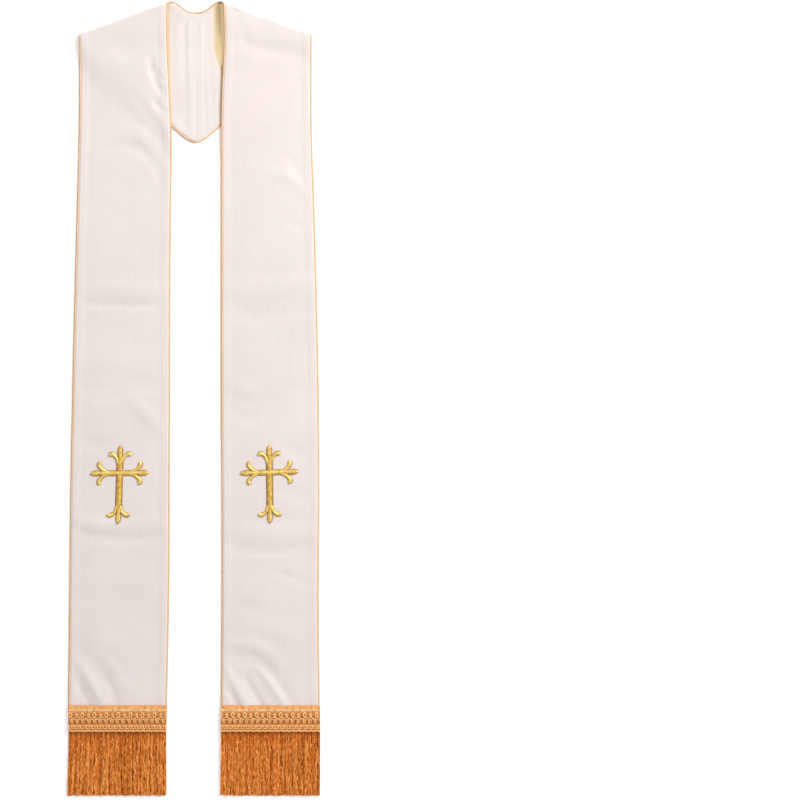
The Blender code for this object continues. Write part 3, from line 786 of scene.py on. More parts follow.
class FinishBoard:
    """A material's nodes, with short calls to add and join them."""

    def __init__(self, name: str) -> None:
        """Start a material with a plain shader."""
        self.material = bpy.data.materials.new(name)
        self.material.use_nodes = True
        self.tree = self.material.node_tree
        self.shader = self.tree.nodes["Principled BSDF"]

    def add(self, kind: str, **settings: object) -> bpy.types.Node:
        """Add a node and set its properties.

        Args:
            kind: The node's type.
            settings: Its properties by name.

        Returns:
            The node.
        """
        node = self.tree.nodes.new(kind)
        for name, value in settings.items():
            setattr(node, name, value)
        return node

    def feed(self, socket: bpy.types.NodeSocket, value: object) -> None:
        """Give an input a value.

        Args:
            socket: The input.
            value: A number, a colour or another node's output.
        """
        if isinstance(value, bpy.types.NodeSocket):
            self.tree.links.new(value, socket)
        else:
            socket.default_value = value

    def math(self, operation: str, *values: object) -> bpy.types.NodeSocket:
        """Join values by a sum.

        Args:
            operation: The kind of sum.
            values: Numbers or other nodes' outputs.

        Returns:
            The sum's output.
        """
        node = self.add("ShaderNodeMath", operation=operation)
        for socket, value in zip(node.inputs, values):
            self.feed(socket, value)
        return node.outputs[0]

    def grain(self, across: float, along: float) -> tuple[bpy.types.NodeSocket, ...]:
        """The grain's own directions, counted in threads.

        Args:
            across: Width of one thread in the first direction, in metres.
            along: Width of one thread in the second.

        Returns:
            The two counts and the vector that holds them.
        """
        chart = self.add("ShaderNodeUVMap", uv_map="grain")
        scaled = self.add("ShaderNodeVectorMath", operation="MULTIPLY")
        self.feed(scaled.inputs[0], chart.outputs[0])
        scaled.inputs[1].default_value = (1.0 / across, 1.0 / along, 1.0)
        parts = self.add("ShaderNodeSeparateXYZ")
        self.feed(parts.inputs[0], scaled.outputs[0])
        return parts.outputs[0], parts.outputs[1], scaled.outputs[0]

    def noise(self, vector: bpy.types.NodeSocket, scale: float, detail: float) -> bpy.types.NodeSocket:
        """Soft noise from 0 to 1.

        Args:
            vector: Where to read the noise.
            scale: How fine it is, for each unit of the vector.
            detail: How many finer layers it has.

        Returns:
            The noise.
        """
        node = self.add("ShaderNodeTexNoise")
        self.feed(node.inputs["Vector"], vector)
        node.inputs["Scale"].default_value = scale
        node.inputs["Detail"].default_value = detail
        return node.outputs[0]

    def place(self) -> bpy.types.NodeSocket:
        """The place on the stole, in metres."""
        return self.add("ShaderNodeTexCoord").outputs["Object"]

    def tone(self) -> bpy.types.NodeSocket:
        """The mark that a piece's mesh carries for its finish."""
        return self.add("ShaderNodeAttribute", attribute_name="tone").outputs["Fac"]

    def ramp(self, share: bpy.types.NodeSocket, stops: tuple) -> bpy.types.NodeSocket:
        """Colours along a scale.

        Args:
            share: The value that picks the colour.
            stops: Pairs of a position and a colour.

        Returns:
            The colour.
        """
        node = self.add("ShaderNodeValToRGB")
        elements = node.color_ramp.elements
        while len(elements) < len(stops):
            elements.new(0.5)
        for element, (position, colour) in zip(elements, stops):
            element.position = position
            element.color = (*colour, 1.0)
        self.feed(node.inputs[0], share)
        return node.outputs[0]

    def mix(self, share: object, start: object, end: object, mode: str = "MIX") -> bpy.types.NodeSocket:
        """Mix two colours.

        Args:
            share: Share of the second colour.
            start: The first colour.
            end: The second.
            mode: How they mix.

        Returns:
            The mixed colour.
        """
        node = self.add("ShaderNodeMix", data_type="RGBA", blend_type=mode)
        for socket, value in zip((node.inputs[0], node.inputs[6], node.inputs[7]), (share, start, end)):
            self.feed(socket, value)
        return node.outputs[2]

    def scale(self, value: object, low: object, high: object) -> bpy.types.NodeSocket:
        """Stretch a value from 0 to 1 over a range.

        Args:
            value: The value to stretch.
            low: What 0 becomes.
            high: What 1 becomes.

        Returns:
            The stretched value.
        """
        node = self.add("ShaderNodeMapRange")
        for name, number in (("Value", value), ("To Min", low), ("To Max", high)):
            self.feed(node.inputs[name], number)
        return node.outputs[0]

    def bump(self, height: object, distance: float, strength: float, under: object = None) -> object:
        """Raise the surface by a height.

        Args:
            height: The height, from 0 to 1.
            distance: How far 1 stands out, in metres.
            strength: Share of the relief that shows.
            under: A coarser relief that this one lies on.

        Returns:
            The normal.
        """
        node = self.add("ShaderNodeBump")
        node.inputs["Strength"].default_value = strength
        node.inputs["Distance"].default_value = distance
        self.feed(node.inputs["Height"], height)
        if under is not None:
            self.feed(node.inputs["Normal"], under)
        return node.outputs[0]


@dataclass(frozen=True)
class WovenCloth:
    """A smooth satin weave with long floats, slubs and a soft sheen."""

    name: str
    light: Colour
    deep: Colour
    rim: Colour
    # Colour of the painted warm shade, then colour and strength of the emission that paints warm light thrown back
    # from the gold cord
    painted_warm_shade: Colour = (0.62, 0.48, 0.25)
    painted_bounce_colour: Colour = (1.0, 0.74, 0.45)
    painted_bounce: float = 0.40
    thread: float = 0.00042
    float_long: float = 0.0021
    slub_wide: float = 0.0016
    slub_long: float = 0.045
    roughness: tuple[float, float] = (0.46, 0.62)
    sheen: float = 0.12

    def make(self) -> bpy.types.Material:
        """Build the cloth's material.

        Returns:
            The material.
        """
        board = FinishBoard(self.name)
        across, along, _ = board.grain(self.thread, self.float_long)
        ridge = board.math("ABSOLUTE", board.math("SINE", board.math("MULTIPLY", across, math.pi)))
        stagger = board.math("MULTIPLY", board.math("FLOOR", across), 0.4)
        floats = board.math("PINGPONG", board.math("ADD", along, stagger), 0.5)
        dips = board.math("POWER", board.math("MULTIPLY", floats, 2.0), 0.35)
        weave = board.math("MULTIPLY", ridge, dips)
        _, _, slub_grain = board.grain(self.slub_wide, self.slub_long)
        slub = board.noise(slub_grain, 1.0, 2.0)
        broad = board.noise(board.place(), 9.0, 2.0)
        mottle = board.math("ADD", board.math("MULTIPLY", slub, 0.45), board.math("MULTIPLY", broad, 0.55))
        body = board.ramp(mottle, ((0.32, self.deep), (0.68, self.light)))
        edge = board.math("MINIMUM", board.math("MULTIPLY", board.tone(), 2.0), 1.0)
        # Marks over one half mix in the painted warm shade colour
        shade = board.math("MAXIMUM", board.math("MULTIPLY_ADD", board.tone(), 2.0, -1.0), 0.0)
        colour = board.mix(shade, board.mix(edge, body, (*self.rim, 1.0)), (*self.painted_warm_shade, 1.0))
        # Painted shade: the colour dims a little in the dips of the weave
        fine = board.scale(weave, 0.95, 1.02)
        tint = board.add("ShaderNodeVectorMath", operation="SCALE")
        board.feed(tint.inputs[0], colour)
        board.feed(tint.inputs["Scale"], fine)
        board.feed(board.shader.inputs["Base Color"], tint.outputs[0])
        board.feed(board.shader.inputs["Roughness"], board.scale(slub, *self.roughness))
        pucker = board.bump(board.noise(board.place(), 55.0, 3.0), 0.0009, 0.22)
        slubs = board.bump(slub, 0.00025, 0.35, pucker)
        board.feed(board.shader.inputs["Normal"], board.bump(weave, 0.00010, 0.5, slubs))
        # Painted light: past the mark the lining gives off warm light of its own, standing in for light thrown back
        # from the gold cord
        past = board.math("DIVIDE", board.math("SUBTRACT", board.tone(), PAINTED_BOUNCE_FROM), 1.0 - PAINTED_BOUNCE_FROM)
        painted_bounce_strength = board.math("MULTIPLY", board.math("MAXIMUM", past, 0.0), self.painted_bounce)
        board.shader.inputs["Emission Color"].default_value = (*self.painted_bounce_colour, 1.0)
        board.feed(board.shader.inputs["Emission Strength"], painted_bounce_strength)
        board.shader.inputs["Sheen Weight"].default_value = self.sheen
        board.shader.inputs["Sheen Roughness"].default_value = 0.45
        board.shader.inputs["Specular IOR Level"].default_value = 0.20
        return board.material


@dataclass(frozen=True)
class TwistedThread:
    """Silky thread in a twist, from deep to bright tones."""

    name: str
    deep: Colour
    middle: Colour
    bright: Colour
    twist: float
    strands: float
    roughness: tuple[float, float] = (0.32, 0.50)
    metallic: float = 0.0
    sheen: float = 0.1
    gloss: Colour = (1.0, 1.0, 1.0)
    relief: float = 0.00025
    uneven: float = 0.30

    def make(self) -> bpy.types.Material:
        """Build the thread's material.

        Returns:
            The material.
        """
        board = FinishBoard(self.name)
        along, around, _ = board.grain(self.twist, 1.0)
        slant = board.math("ADD", along, board.math("MULTIPLY", around, self.strands))
        ply = board.math("ABSOLUTE", board.math("SINE", board.math("MULTIPLY", slant, math.pi)))
        patch = board.noise(board.place(), 160.0, 2.0)
        wander = board.math("MULTIPLY", board.math("SUBTRACT", patch, 0.5), self.uneven)
        # Painted shade: the thread is darker in the grooves between its plies
        depth = board.math("MULTIPLY", board.math("SUBTRACT", ply, 0.75), 0.35)
        shade = board.math("ADD", board.math("ADD", board.tone(), wander), depth)
        stops = ((0.0, self.deep), (0.5, self.middle), (1.0, self.bright))
        board.feed(board.shader.inputs["Base Color"], board.ramp(shade, stops))
        board.feed(board.shader.inputs["Roughness"], board.scale(patch, *self.roughness))
        fibres = board.bump(board.noise(board.place(), 2600.0, 2.0), 0.00006, 0.3)
        board.feed(board.shader.inputs["Normal"], board.bump(ply, self.relief, 0.6, fibres))
        board.shader.inputs["Metallic"].default_value = self.metallic
        board.shader.inputs["Sheen Weight"].default_value = self.sheen
        board.shader.inputs["Specular IOR Level"].default_value = 0.55
        board.shader.inputs["Specular Tint"].default_value = (*self.gloss, 1.0)
        return board.material


@dataclass(frozen=True)
class FloorPaper:
    """Plain pale paper under the stole."""

    name: str = "pale_floor_paper"
    colour: Colour = (0.95, 0.95, 0.95)
    lit_from_below: float = 0.26

    def make(self) -> bpy.types.Material:
        """Build the paper's material.

        Returns:
            The material.
        """
        board = FinishBoard(self.name)
        tooth = board.noise(board.place(), 900.0, 2.0)
        pale = tuple(0.98 * value for value in self.colour)
        board.feed(board.shader.inputs["Base Color"], board.ramp(tooth, ((0.3, pale), (0.7, self.colour))))
        board.feed(board.shader.inputs["Roughness"], board.scale(tooth, 0.8, 0.95))
        board.feed(board.shader.inputs["Normal"], board.bump(tooth, 0.0001, 0.2))
        board.shader.inputs["Specular IOR Level"].default_value = 0.1
        board.shader.inputs["Emission Color"].default_value = (1.0, 1.0, 1.0, 1.0)
        board.shader.inputs["Emission Strength"].default_value = self.lit_from_below
        return board.material


FACE_SATIN = WovenCloth("face_satin", (0.735, 0.665, 0.642), (0.685, 0.615, 0.592), (0.80, 0.64, 0.53))
LINING_CLOTH = WovenCloth("lining_cloth", (0.738, 0.675, 0.641), (0.690, 0.622, 0.584), (0.80, 0.65, 0.54))
CORD_COVER = TwistedThread(
    "cord_cover", (0.40, 0.23, 0.12), (0.66, 0.41, 0.22), (0.88, 0.64, 0.42), 0.0016, 1.0, relief=0.00012
)
GIMP_THREAD = TwistedThread(
    "gimp_thread", (0.24, 0.060, 0.008), (0.70, 0.28, 0.075), (0.98, 0.60, 0.27), 0.0013, 2.0,
    sheen=0.0, gloss=(1.0, 0.80, 0.55),
)
FRINGE_SILK = TwistedThread(
    "fringe_silk", (0.34, 0.070, 0.004), (0.66, 0.170, 0.016), (1.0, 0.48, 0.14), 0.0030, 2.0,
    roughness=(0.26, 0.40), sheen=0.0, gloss=(1.0, 0.72, 0.42), uneven=0.55,
)
SATIN_STITCH = TwistedThread(
    "satin_stitch", (0.26, 0.12, 0.02), (0.62, 0.36, 0.070), (1.0, 0.76, 0.24), 0.0008, 0.0,
    roughness=(0.28, 0.38), metallic=0.35, relief=0.00010, gloss=(1.0, 0.85, 0.55), uneven=0.80,
)


@dataclass(frozen=True)
class ClothStrip:
    """One layer of a side: up the front, round the shoulder fold and on as half of the yoke."""

    side: StoleSide
    layer: Layer
    finish: bpy.types.Material

    middle_columns: int = 26
    seam_reach: float = 0.0030
    seam_thin: float = 0.0004
    allowance_wide: float = 0.0110
    allowance_step: float = 0.0030
    allowance_thick: float = 0.0004
    centre_reach: float = 0.0026
    centre_dip: float = 0.00015
    pucker_pitch: float = 0.0170
    pucker_rise: float = 0.00022
    pucker_reach: float = 0.012
    rim_wide: float = 0.0045
    # Strength of the painted warm shade on each side's yoke lining
    left_glow: float = 0.72
    right_glow: float = 1.0

    @property
    def edge_steps(self) -> Array:
        """Distances from a cord at which the cloth has a column."""
        return np.array([0.0, 0.8, 1.5, 2.2, 3.0, 4.5, 7.0, 10.0, 12.0, 14.0]) * MM

    def stations(self, length: Array) -> Array:
        """Shares of the way across at which each row has points.

        Args:
            length: Each row's length from cord to cord.

        Returns:
            A share from 0 to 1 for each point of each row.
        """
        near = np.broadcast_to(self.edge_steps, (len(length), len(self.edge_steps)))
        share = np.linspace(0.0, 1.0, self.middle_columns + 2)[1:-1]
        start = self.edge_steps[-1]
        middle = start + (length[:, None] - 2.0 * start) * share
        return np.concatenate([near, middle, length[:, None] - near[:, ::-1]], axis=1) / length[:, None]

    def edge_distances(self, inner: Array, outer: Array, share: Array) -> tuple[Array, Array]:
        """Distances of each point from the two cords.

        Args:
            inner: The neck cord's pattern points.
            outer: The outer cord's pattern points.
            share: Shares of the way across.

        Returns:
            The distances from the neck cord and from the outer cord.
        """
        row = outer - inner
        length = np.linalg.norm(row, axis=1)
        way = unit(row)
        squares = []
        for line in (inner, outer):
            ahead = unit(np.gradient(line, axis=0))
            squares.append(np.abs(ahead[:, 0] * way[:, 1] - ahead[:, 1] * way[:, 0])[:, None])
        return share * length[:, None] * squares[0], (1.0 - share) * length[:, None] * squares[1]

    def skins(self, distance: Array, turned: Array, centre: Array, along: Array) -> tuple[Array, Array]:
        """Offsets of the layer's outer and inner skin.

        Args:
            distance: Distance from the nearer cord.
            turned: 0 on the front and 1 on the yoke.
            centre: Distance from the centre-back seam.
            along: Distance along the strip, for the puckers of the seam.

        Returns:
            The outer and the inner skin's distances from the lining's inner side.
        """
        cord = blend(CORD_OFFSET_FRONT, CORD_OFFSET_YOKE, turned)
        full = smooth(distance / self.seam_reach)
        doubled = 1.0 - smooth((distance - self.allowance_wide) / self.allowance_step)
        at_centre = 1.0 - smooth((centre - self.allowance_wide) / self.allowance_step)
        doubled = np.maximum(doubled, at_centre * turned)
        puckers = 0.5 + 0.35 * wave(along / self.pucker_pitch) + 0.15 * wave(1.62 * along / self.pucker_pitch)
        puckers = self.pucker_rise * puckers * (1.0 - smooth(distance / self.pucker_reach))
        rise = (self.allowance_thick * doubled + puckers) * full
        dip = self.centre_dip * (1.0 - smooth(centre / self.centre_reach)) * turned
        if self.layer is Layer.FACE:
            outer = blend(cord, LAYERS + rise * (1.0 - turned) - dip, full)
            return outer, outer - blend(self.seam_thin, CLOTH, full)
        outer = blend(cord, -rise * turned + dip, full)
        return outer, outer + blend(self.seam_thin, CLOTH, full)

    def build(self, rests_on: list[str]) -> bpy.types.Object:
        """Make the layer as a thin closed shell.

        Args:
            rests_on: Names of what it lies on; not used.

        Returns:
            The piece.
        """
        side = self.side
        inner, outer = side.cord_rows()
        length = np.linalg.norm(outer - inner, axis=1)
        share = self.stations(length)
        pattern = inner[:, None] + (outer - inner)[:, None] * share[..., None]
        from_neck, from_outer = self.edge_distances(inner, outer, share)
        distance = np.minimum(from_neck, from_outer)
        turned = side.turned(pattern)
        along = np.concatenate([[0.0], np.cumsum(np.linalg.norm(np.diff(inner, axis=0), axis=1))])
        laid = side.lay(pattern, np.full(share.shape, 0.5 * LAYERS))
        centre = np.abs(laid[..., 0] - CENTRE_LINE_X)
        skins = self.skins(distance, turned, centre, np.broadcast_to(along[:, None], share.shape))
        tone = 0.5 - 0.5 * smooth(distance / self.rim_wide)
        if self.layer is Layer.LINING:
            # Painted warm shade on the yoke's lining beside the front, standing in for its shadow
            painted_warm_shade = side.painted_warm_shade(centre, laid[..., 1] - HEM_Y) * turned
            tone = np.maximum(tone, (self.left_glow if side.hand is Hand.LEFT else self.right_glow) * painted_warm_shade)
        sketch = PieceSketch(f"{side.hand.word}_{self.layer.value}_cloth")
        outside, inside = (side.lay(pattern, skin) for skin in skins)
        flip = (side.hand is Hand.LEFT) == (self.layer is Layer.FACE)
        sketch.add_shell(outside, inside, straight_grain(pattern), tone, flip)
        slot = "face_cloth" if self.layer is Layer.FACE else "lining_cloth"
        piece = sketch.make(self.finish, slot, 75.0)
        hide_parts(*(f"{side.hand.word}_{part}_{self.layer.value}" for part in ("front", "yoke")))
        return piece


@dataclass(frozen=True)
class EdgeCord:
    """The covered cord sewn into one edge of a strip, from the hem to the centre back."""

    side: StoleSide
    edge: Edge
    finish: bpy.types.Material

    sides: int = 14
    left_tones: tuple[float, float] = (0.66, 0.02)
    right_tones: tuple[float, float] = (0.90, 0.48)

    @property
    def tones(self) -> tuple[float, float]:
        """Tones of the cord's inward and outward sides: painted shade darkens the outward side, and more so where
        the cord faces left, away from the key light.
        """
        faces_left = (self.side.hand is Hand.LEFT) == (self.edge is Edge.OUTER)
        return self.left_tones if faces_left else self.right_tones

    def build(self) -> bpy.types.Object:
        """Make the cord along its edge of the pattern.

        Returns:
            The piece.
        """
        side = self.side
        rows = side.cord_rows()
        line, other = rows[self.edge.value], rows[1 - self.edge.value]
        offset = blend(CORD_OFFSET_FRONT, CORD_OFFSET_YOKE, side.turned(line))
        path = side.lay(line, offset)
        inward = side.lay(blend(line, other, 0.01), offset) - path
        sketch = PieceSketch(f"{side.hand.word}_{self.edge.name.lower()}_edge_cord")
        upright = np.cross(np.gradient(path, axis=0), inward)
        outward = np.cos(np.linspace(0.0, 2.0 * math.pi, self.sides, endpoint=False))
        # Painted shade: the cord's outward side is darker, the more so on a cord that faces left
        tone = blend(*self.tones, smooth(0.5 + 0.75 * outward))
        sketch.add_cord(path, CORD_RADIUS, upright, np.broadcast_to(tone, (len(path), self.sides)), self.sides)
        piece = sketch.make(self.finish, "piping")
        node = "neck" if self.edge is Edge.NECK else "outer"
        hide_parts(f"{side.hand.word}_{node}_piping")
        return piece


@dataclass(frozen=True)
class GimpHeading:
    """The woven heading over a hem: a ground tape with gimp cords worked on it.

    Heights are above the fringe and in millimetres.
    """

    side: StoleSide
    band: Band
    finish: bpy.types.Material

    ground_z: float = 0.0046
    ground_thick: float = 0.0010
    back_thick: float = 0.0012
    wrap_wide: float = 0.0012
    wrap_drop: float = 0.0006
    rib_rise: float = 0.00012
    rib_pitch: float = 0.0016
    slots_low: float = 0.0105
    slots_high: float = 0.0285
    slots_soft: float = 0.001
    columns: int = 70
    rows: int = 30
    margin: float = 0.0006
    cord_pitch: float = 0.0090
    loop_pitch: float = 0.0094
    step: float = 0.0006

    @property
    def top(self) -> float:
        """Height of the ground tape's upper side."""
        return self.ground_z + self.ground_thick

    def band_width(self) -> float:
        """Width of the band from edge to edge."""
        return float(self.side.outer(0.5 * HEADING_DEEP) - self.side.inner(0.5 * HEADING_DEEP))

    def line(self, s: Array, height: Array, z: Array) -> Array:
        """Points of a gimp cord.

        Args:
            s: Distances along the band.
            height: Heights above the fringe.
            z: Heights over the ground tape.

        Returns:
            The points in the part's own frame.
        """
        margin = self.margin / self.band_width()
        share = np.clip(s / self.band_width(), margin, 1.0 - margin)
        return self.side.band_point(share, height, self.top + z)

    def run(self, extra: float = 0.0) -> Array:
        """Distances along the band, close enough for a smooth cord."""
        return np.arange(-extra, self.band_width() + extra + self.step, self.step)

    def ground_shade(self, height: Array) -> Array:
        """Tone of the ground, dark where the slots and the loops let it show.

        Args:
            height: Heights above the fringe.

        Returns:
            The tone at each height.
        """
        if self.band is Band.BACK:
            return np.full(height.shape, 0.45)
        over_low = smooth((height - self.slots_low) / self.slots_soft)
        in_slots = over_low * (1.0 - smooth((height - self.slots_high) / self.slots_soft))
        return 0.50 - 0.31 * in_slots

    def build_ground(self) -> bpy.types.Object:
        """Make the ground tape, whose ends turn down round the edge cords.

        Returns:
            The piece.
        """
        side, width = self.side, self.band_width()
        rows = np.linspace(0.0, HEADING_DEEP, self.rows)
        sketch = PieceSketch(f"{side.hand.word}_heading_{self.band.value}_tape")
        s, height = np.meshgrid(np.linspace(0.0, 1.0, self.columns), rows)
        if self.band is Band.FRONT:
            low, high = self.ground_z, self.top
            ribs = self.rib_rise * np.abs(wave(0.5 * s * width / self.rib_pitch))
            end = np.minimum(s, 1.0 - s) * width / self.wrap_wide
            high = high + ribs - self.wrap_drop * (1.0 - smooth(end))
        else:
            low, high = self.back_thick, 0.0
        upper = side.band_point(s, height, np.broadcast_to(high, s.shape))
        lower = side.band_point(s, height, np.broadcast_to(low, s.shape))
        flat = np.stack([s * width, height], axis=-1)
        flip = (side.hand is Hand.LEFT) == (self.band is Band.FRONT)
        sketch.add_shell(upper, lower, flat, self.ground_shade(rows)[:, None], flip)
        piece = sketch.make(self.finish, "heading")
        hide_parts(f"{side.hand.word}_heading_{self.band.value}")
        return piece

    def add_stitches(self, sketch: PieceSketch, height: float, long: float, gap: float, tone: float) -> None:
        """Add a row of short stitches.

        Args:
            sketch: The piece that takes them.
            height: The row's height.
            long: Length of a stitch.
            gap: Space between two stitches.
            tone: The stitches' tone.
        """
        for start in np.arange(0.5 * gap, self.band_width() - long, long + gap):
            s = np.linspace(start, start + long, 6)
            z = 0.00035 * np.sin(np.linspace(0.0, math.pi, 6))
            sketch.add_cord(self.line(s, np.full(6, height), z), 0.00032, UP, tone, 6)

    def add_tape_row(self, sketch: PieceSketch) -> None:
        """Add the smooth ribbed row at the top, between its two binding cords.

        Args:
            sketch: The piece that takes it.
        """
        width = self.band_width()
        for low, high, tone in ((31.9, 35.9, 0.80), (35.9, 40.1, 0.72)):
            s, across = np.meshgrid(np.arange(0.0, width, 0.0007), np.linspace(0.0, 1.0, 9), indexing="ij")
            crown = 0.00050 * np.sin(across * math.pi) ** 0.5
            ribs = 0.00010 * np.abs(wave(0.5 * s / 0.0011 + 0.3 * across))
            pitch = 0.0099
            number = np.floor(s / pitch)
            middle = 0.5 * pitch + 0.0009 * np.sin(2.3 * number + low)
            depth = 0.55 + 0.45 * np.sin(1.7 * number + 0.6 * low)
            tick = depth * np.exp(-(((s - number * pitch - middle) / 0.00055) ** 2))
            points = self.line(s, blend(low, high, across) * MM, crown + ribs - 0.00030 * tick)
            grain = np.stack([s, across * 0.0040], axis=-1)
            if self.side.hand is Hand.RIGHT:
                points, grain = points[:, ::-1], grain[:, ::-1]
            drift = 0.06 * wave(s / 0.031 + 0.1 * low) + 0.04 * wave(s / 0.013)
            sketch.add_grid(points, grain, np.clip(tone + drift - 0.62 * tick, 0.0, 1.0))
        s = self.run()
        wobble = 0.00022 * wave(s / 0.0098)
        sketch.add_cord(self.line(s, 30.9 * MM + wobble, 0.0005 + 0 * s), 0.00055, UP, 0.80)
        sketch.add_cord(self.line(s, 40.6 * MM + 0 * s, 0.0003 + 0 * s), 0.00050, UP, 0.88)
        for k, start in enumerate(np.arange(0.002, width - 0.002, 0.0049)):
            s = np.full(4, start + 0.0004 * math.sin(2.4 * k))
            height = np.linspace(29.9, 32.2, 4) * MM
            sketch.add_cord(self.line(s, height, np.full(4, 0.0010)), 0.00040, UP, 0.35, 6)

    def add_loops(self, sketch: PieceSketch) -> None:
        """Add the looping cord whose big and small loops hang in a scalloped row.

        Args:
            sketch: The piece that takes it.
        """
        pitch = self.loop_pitch
        theta = np.arange(-math.pi, 2.0 * math.pi * (self.band_width() / pitch + 0.5), 0.11)
        swing = (3.9 + 0.75 * np.cos(0.5 * theta + 0.4)) * MM
        s = pitch * theta / (2.0 * math.pi) - 0.95 * swing * np.sin(theta)
        height = 25.2 * MM + swing * np.cos(theta)
        keep = (s > 0.0002) & (s < self.band_width() - 0.0002)
        z = 0.0010 + 0.00045 * np.sin(theta)
        for runs in np.split(np.arange(len(s)), np.where(~keep)[0]):
            runs = runs[keep[runs]]
            if len(runs) > 6:
                # Painted light and shade: each loop is lighter at its top and darker at its bottom
                tone = 0.84 + 0.15 * np.cos(theta[runs])
                sketch.add_cord(self.line(s[runs], height[runs], z[runs]), 0.00098, UP, tone)
        filler = self.run()
        for height_mm, tone in ((21.3, 0.26), (23.4, 0.38), (25.5, 0.34), (27.6, 0.52)):
            bob = 0.0004 * wave(filler / 0.0094 + height_mm)
            z = 0.00005 + 0.00010 * wave(filler / 0.0047)
            sketch.add_cord(self.line(filler, height_mm * MM + bob, z), 0.0009, UP, tone, 6)

    def add_posts(self, sketch: PieceSketch) -> None:
        """Add the open row: bundles of upright threads with slots between them.

        Args:
            sketch: The piece that takes it.
        """
        width = self.band_width()
        for k in range(int(width / self.cord_pitch) + 1):
            middle = (k + 0.5) * self.cord_pitch + 0.0004 * math.sin(1.9 * k)
            for j, shift in enumerate((-2.5, -1.5, -0.5, 0.5, 1.5, 2.5)):
                s = middle + shift * MM * (1.0 + 0.12 * math.sin(3.1 * k + j))
                if not self.margin < s < width - self.margin:
                    continue
                t = np.linspace(0.0, 1.0, 9)
                height = blend(11.0, 19.6, t) * MM
                pinch = 1.0 - 0.18 * np.sin(t * math.pi)
                z = 0.0003 + 0.0006 * np.sin(t * math.pi)
                path = self.line(middle + (s - middle) * pinch + (t - 0.5) * 0.0013, height, z)
                # Painted light and shade: each post is darker at its foot and lighter towards its top
                tone = blend(0.34, 0.74, t) + 0.09 * math.sin(5.3 * k + 2.0 * j)
                sketch.add_cord(path, 0.00062, UP, tone, 6)
        s = self.run()
        arch = 0.0007 * np.abs(wave(0.5 * s / self.cord_pitch))
        sketch.add_cord(self.line(s, 18.9 * MM + arch, 0.0009 + 0 * s), 0.00070, UP, 0.86)

    def add_chain_band(self, sketch: PieceSketch) -> None:
        """Add the mottled band: two cords that cross in a zigzag between two straight ones.

        Args:
            sketch: The piece that takes it.
        """
        s = self.run()
        for phase, tone, lift in ((0.0, 0.88, 0.0), (0.5, 0.60, 0.00025)):
            turns = s / self.cord_pitch + phase + 0.02 * wave(s / 0.041)
            height = (7.3 + 2.5 * wave(turns)) * MM
            z = 0.0009 + 0.0004 * wave(turns + 0.25) + lift
            sketch.add_cord(self.line(s, height, z), 0.00075, UP, tone)
        for height_mm, tone in ((10.6, 0.76), (9.2, 0.56), (7.6, 0.46), (6.0, 0.50), (4.4, 0.60)):
            bob = 0.00025 * wave(s / 0.0045 + 0.37 * height_mm)
            z = 0.0002 + 0.00018 * wave(s / 0.0045 + 0.2 * height_mm)
            sketch.add_cord(self.line(s, height_mm * MM + bob, z), 0.00085, UP, tone, 6)

    def add_scallop(self, sketch: PieceSketch) -> None:
        """Add the bright cord that peaks over each gap between two fringe roots.

        Args:
            sketch: The piece that takes it.
        """
        s = self.run()
        peak = (0.5 + 0.5 * wave(s / self.loop_pitch + 0.25)) ** 3
        height = (1.0 + 1.35 * peak) * MM
        z = 0.0009 - 0.0002 * peak
        sketch.add_cord(self.line(s, height, z), 0.00080, UP, 0.95)

    def build_gimp(self) -> bpy.types.Object:
        """Make all the cords of the heading as one joined piece.

        Returns:
            The piece.
        """
        sketch = PieceSketch(f"{self.side.hand.word}_heading_gimp")
        self.add_tape_row(sketch)
        self.add_loops(sketch)
        self.add_posts(sketch)
        self.add_chain_band(sketch)
        self.add_scallop(sketch)
        self.add_stitches(sketch, 41.3 * MM, 0.0026, 0.0008, 0.62)
        return sketch.make(self.finish, "heading")


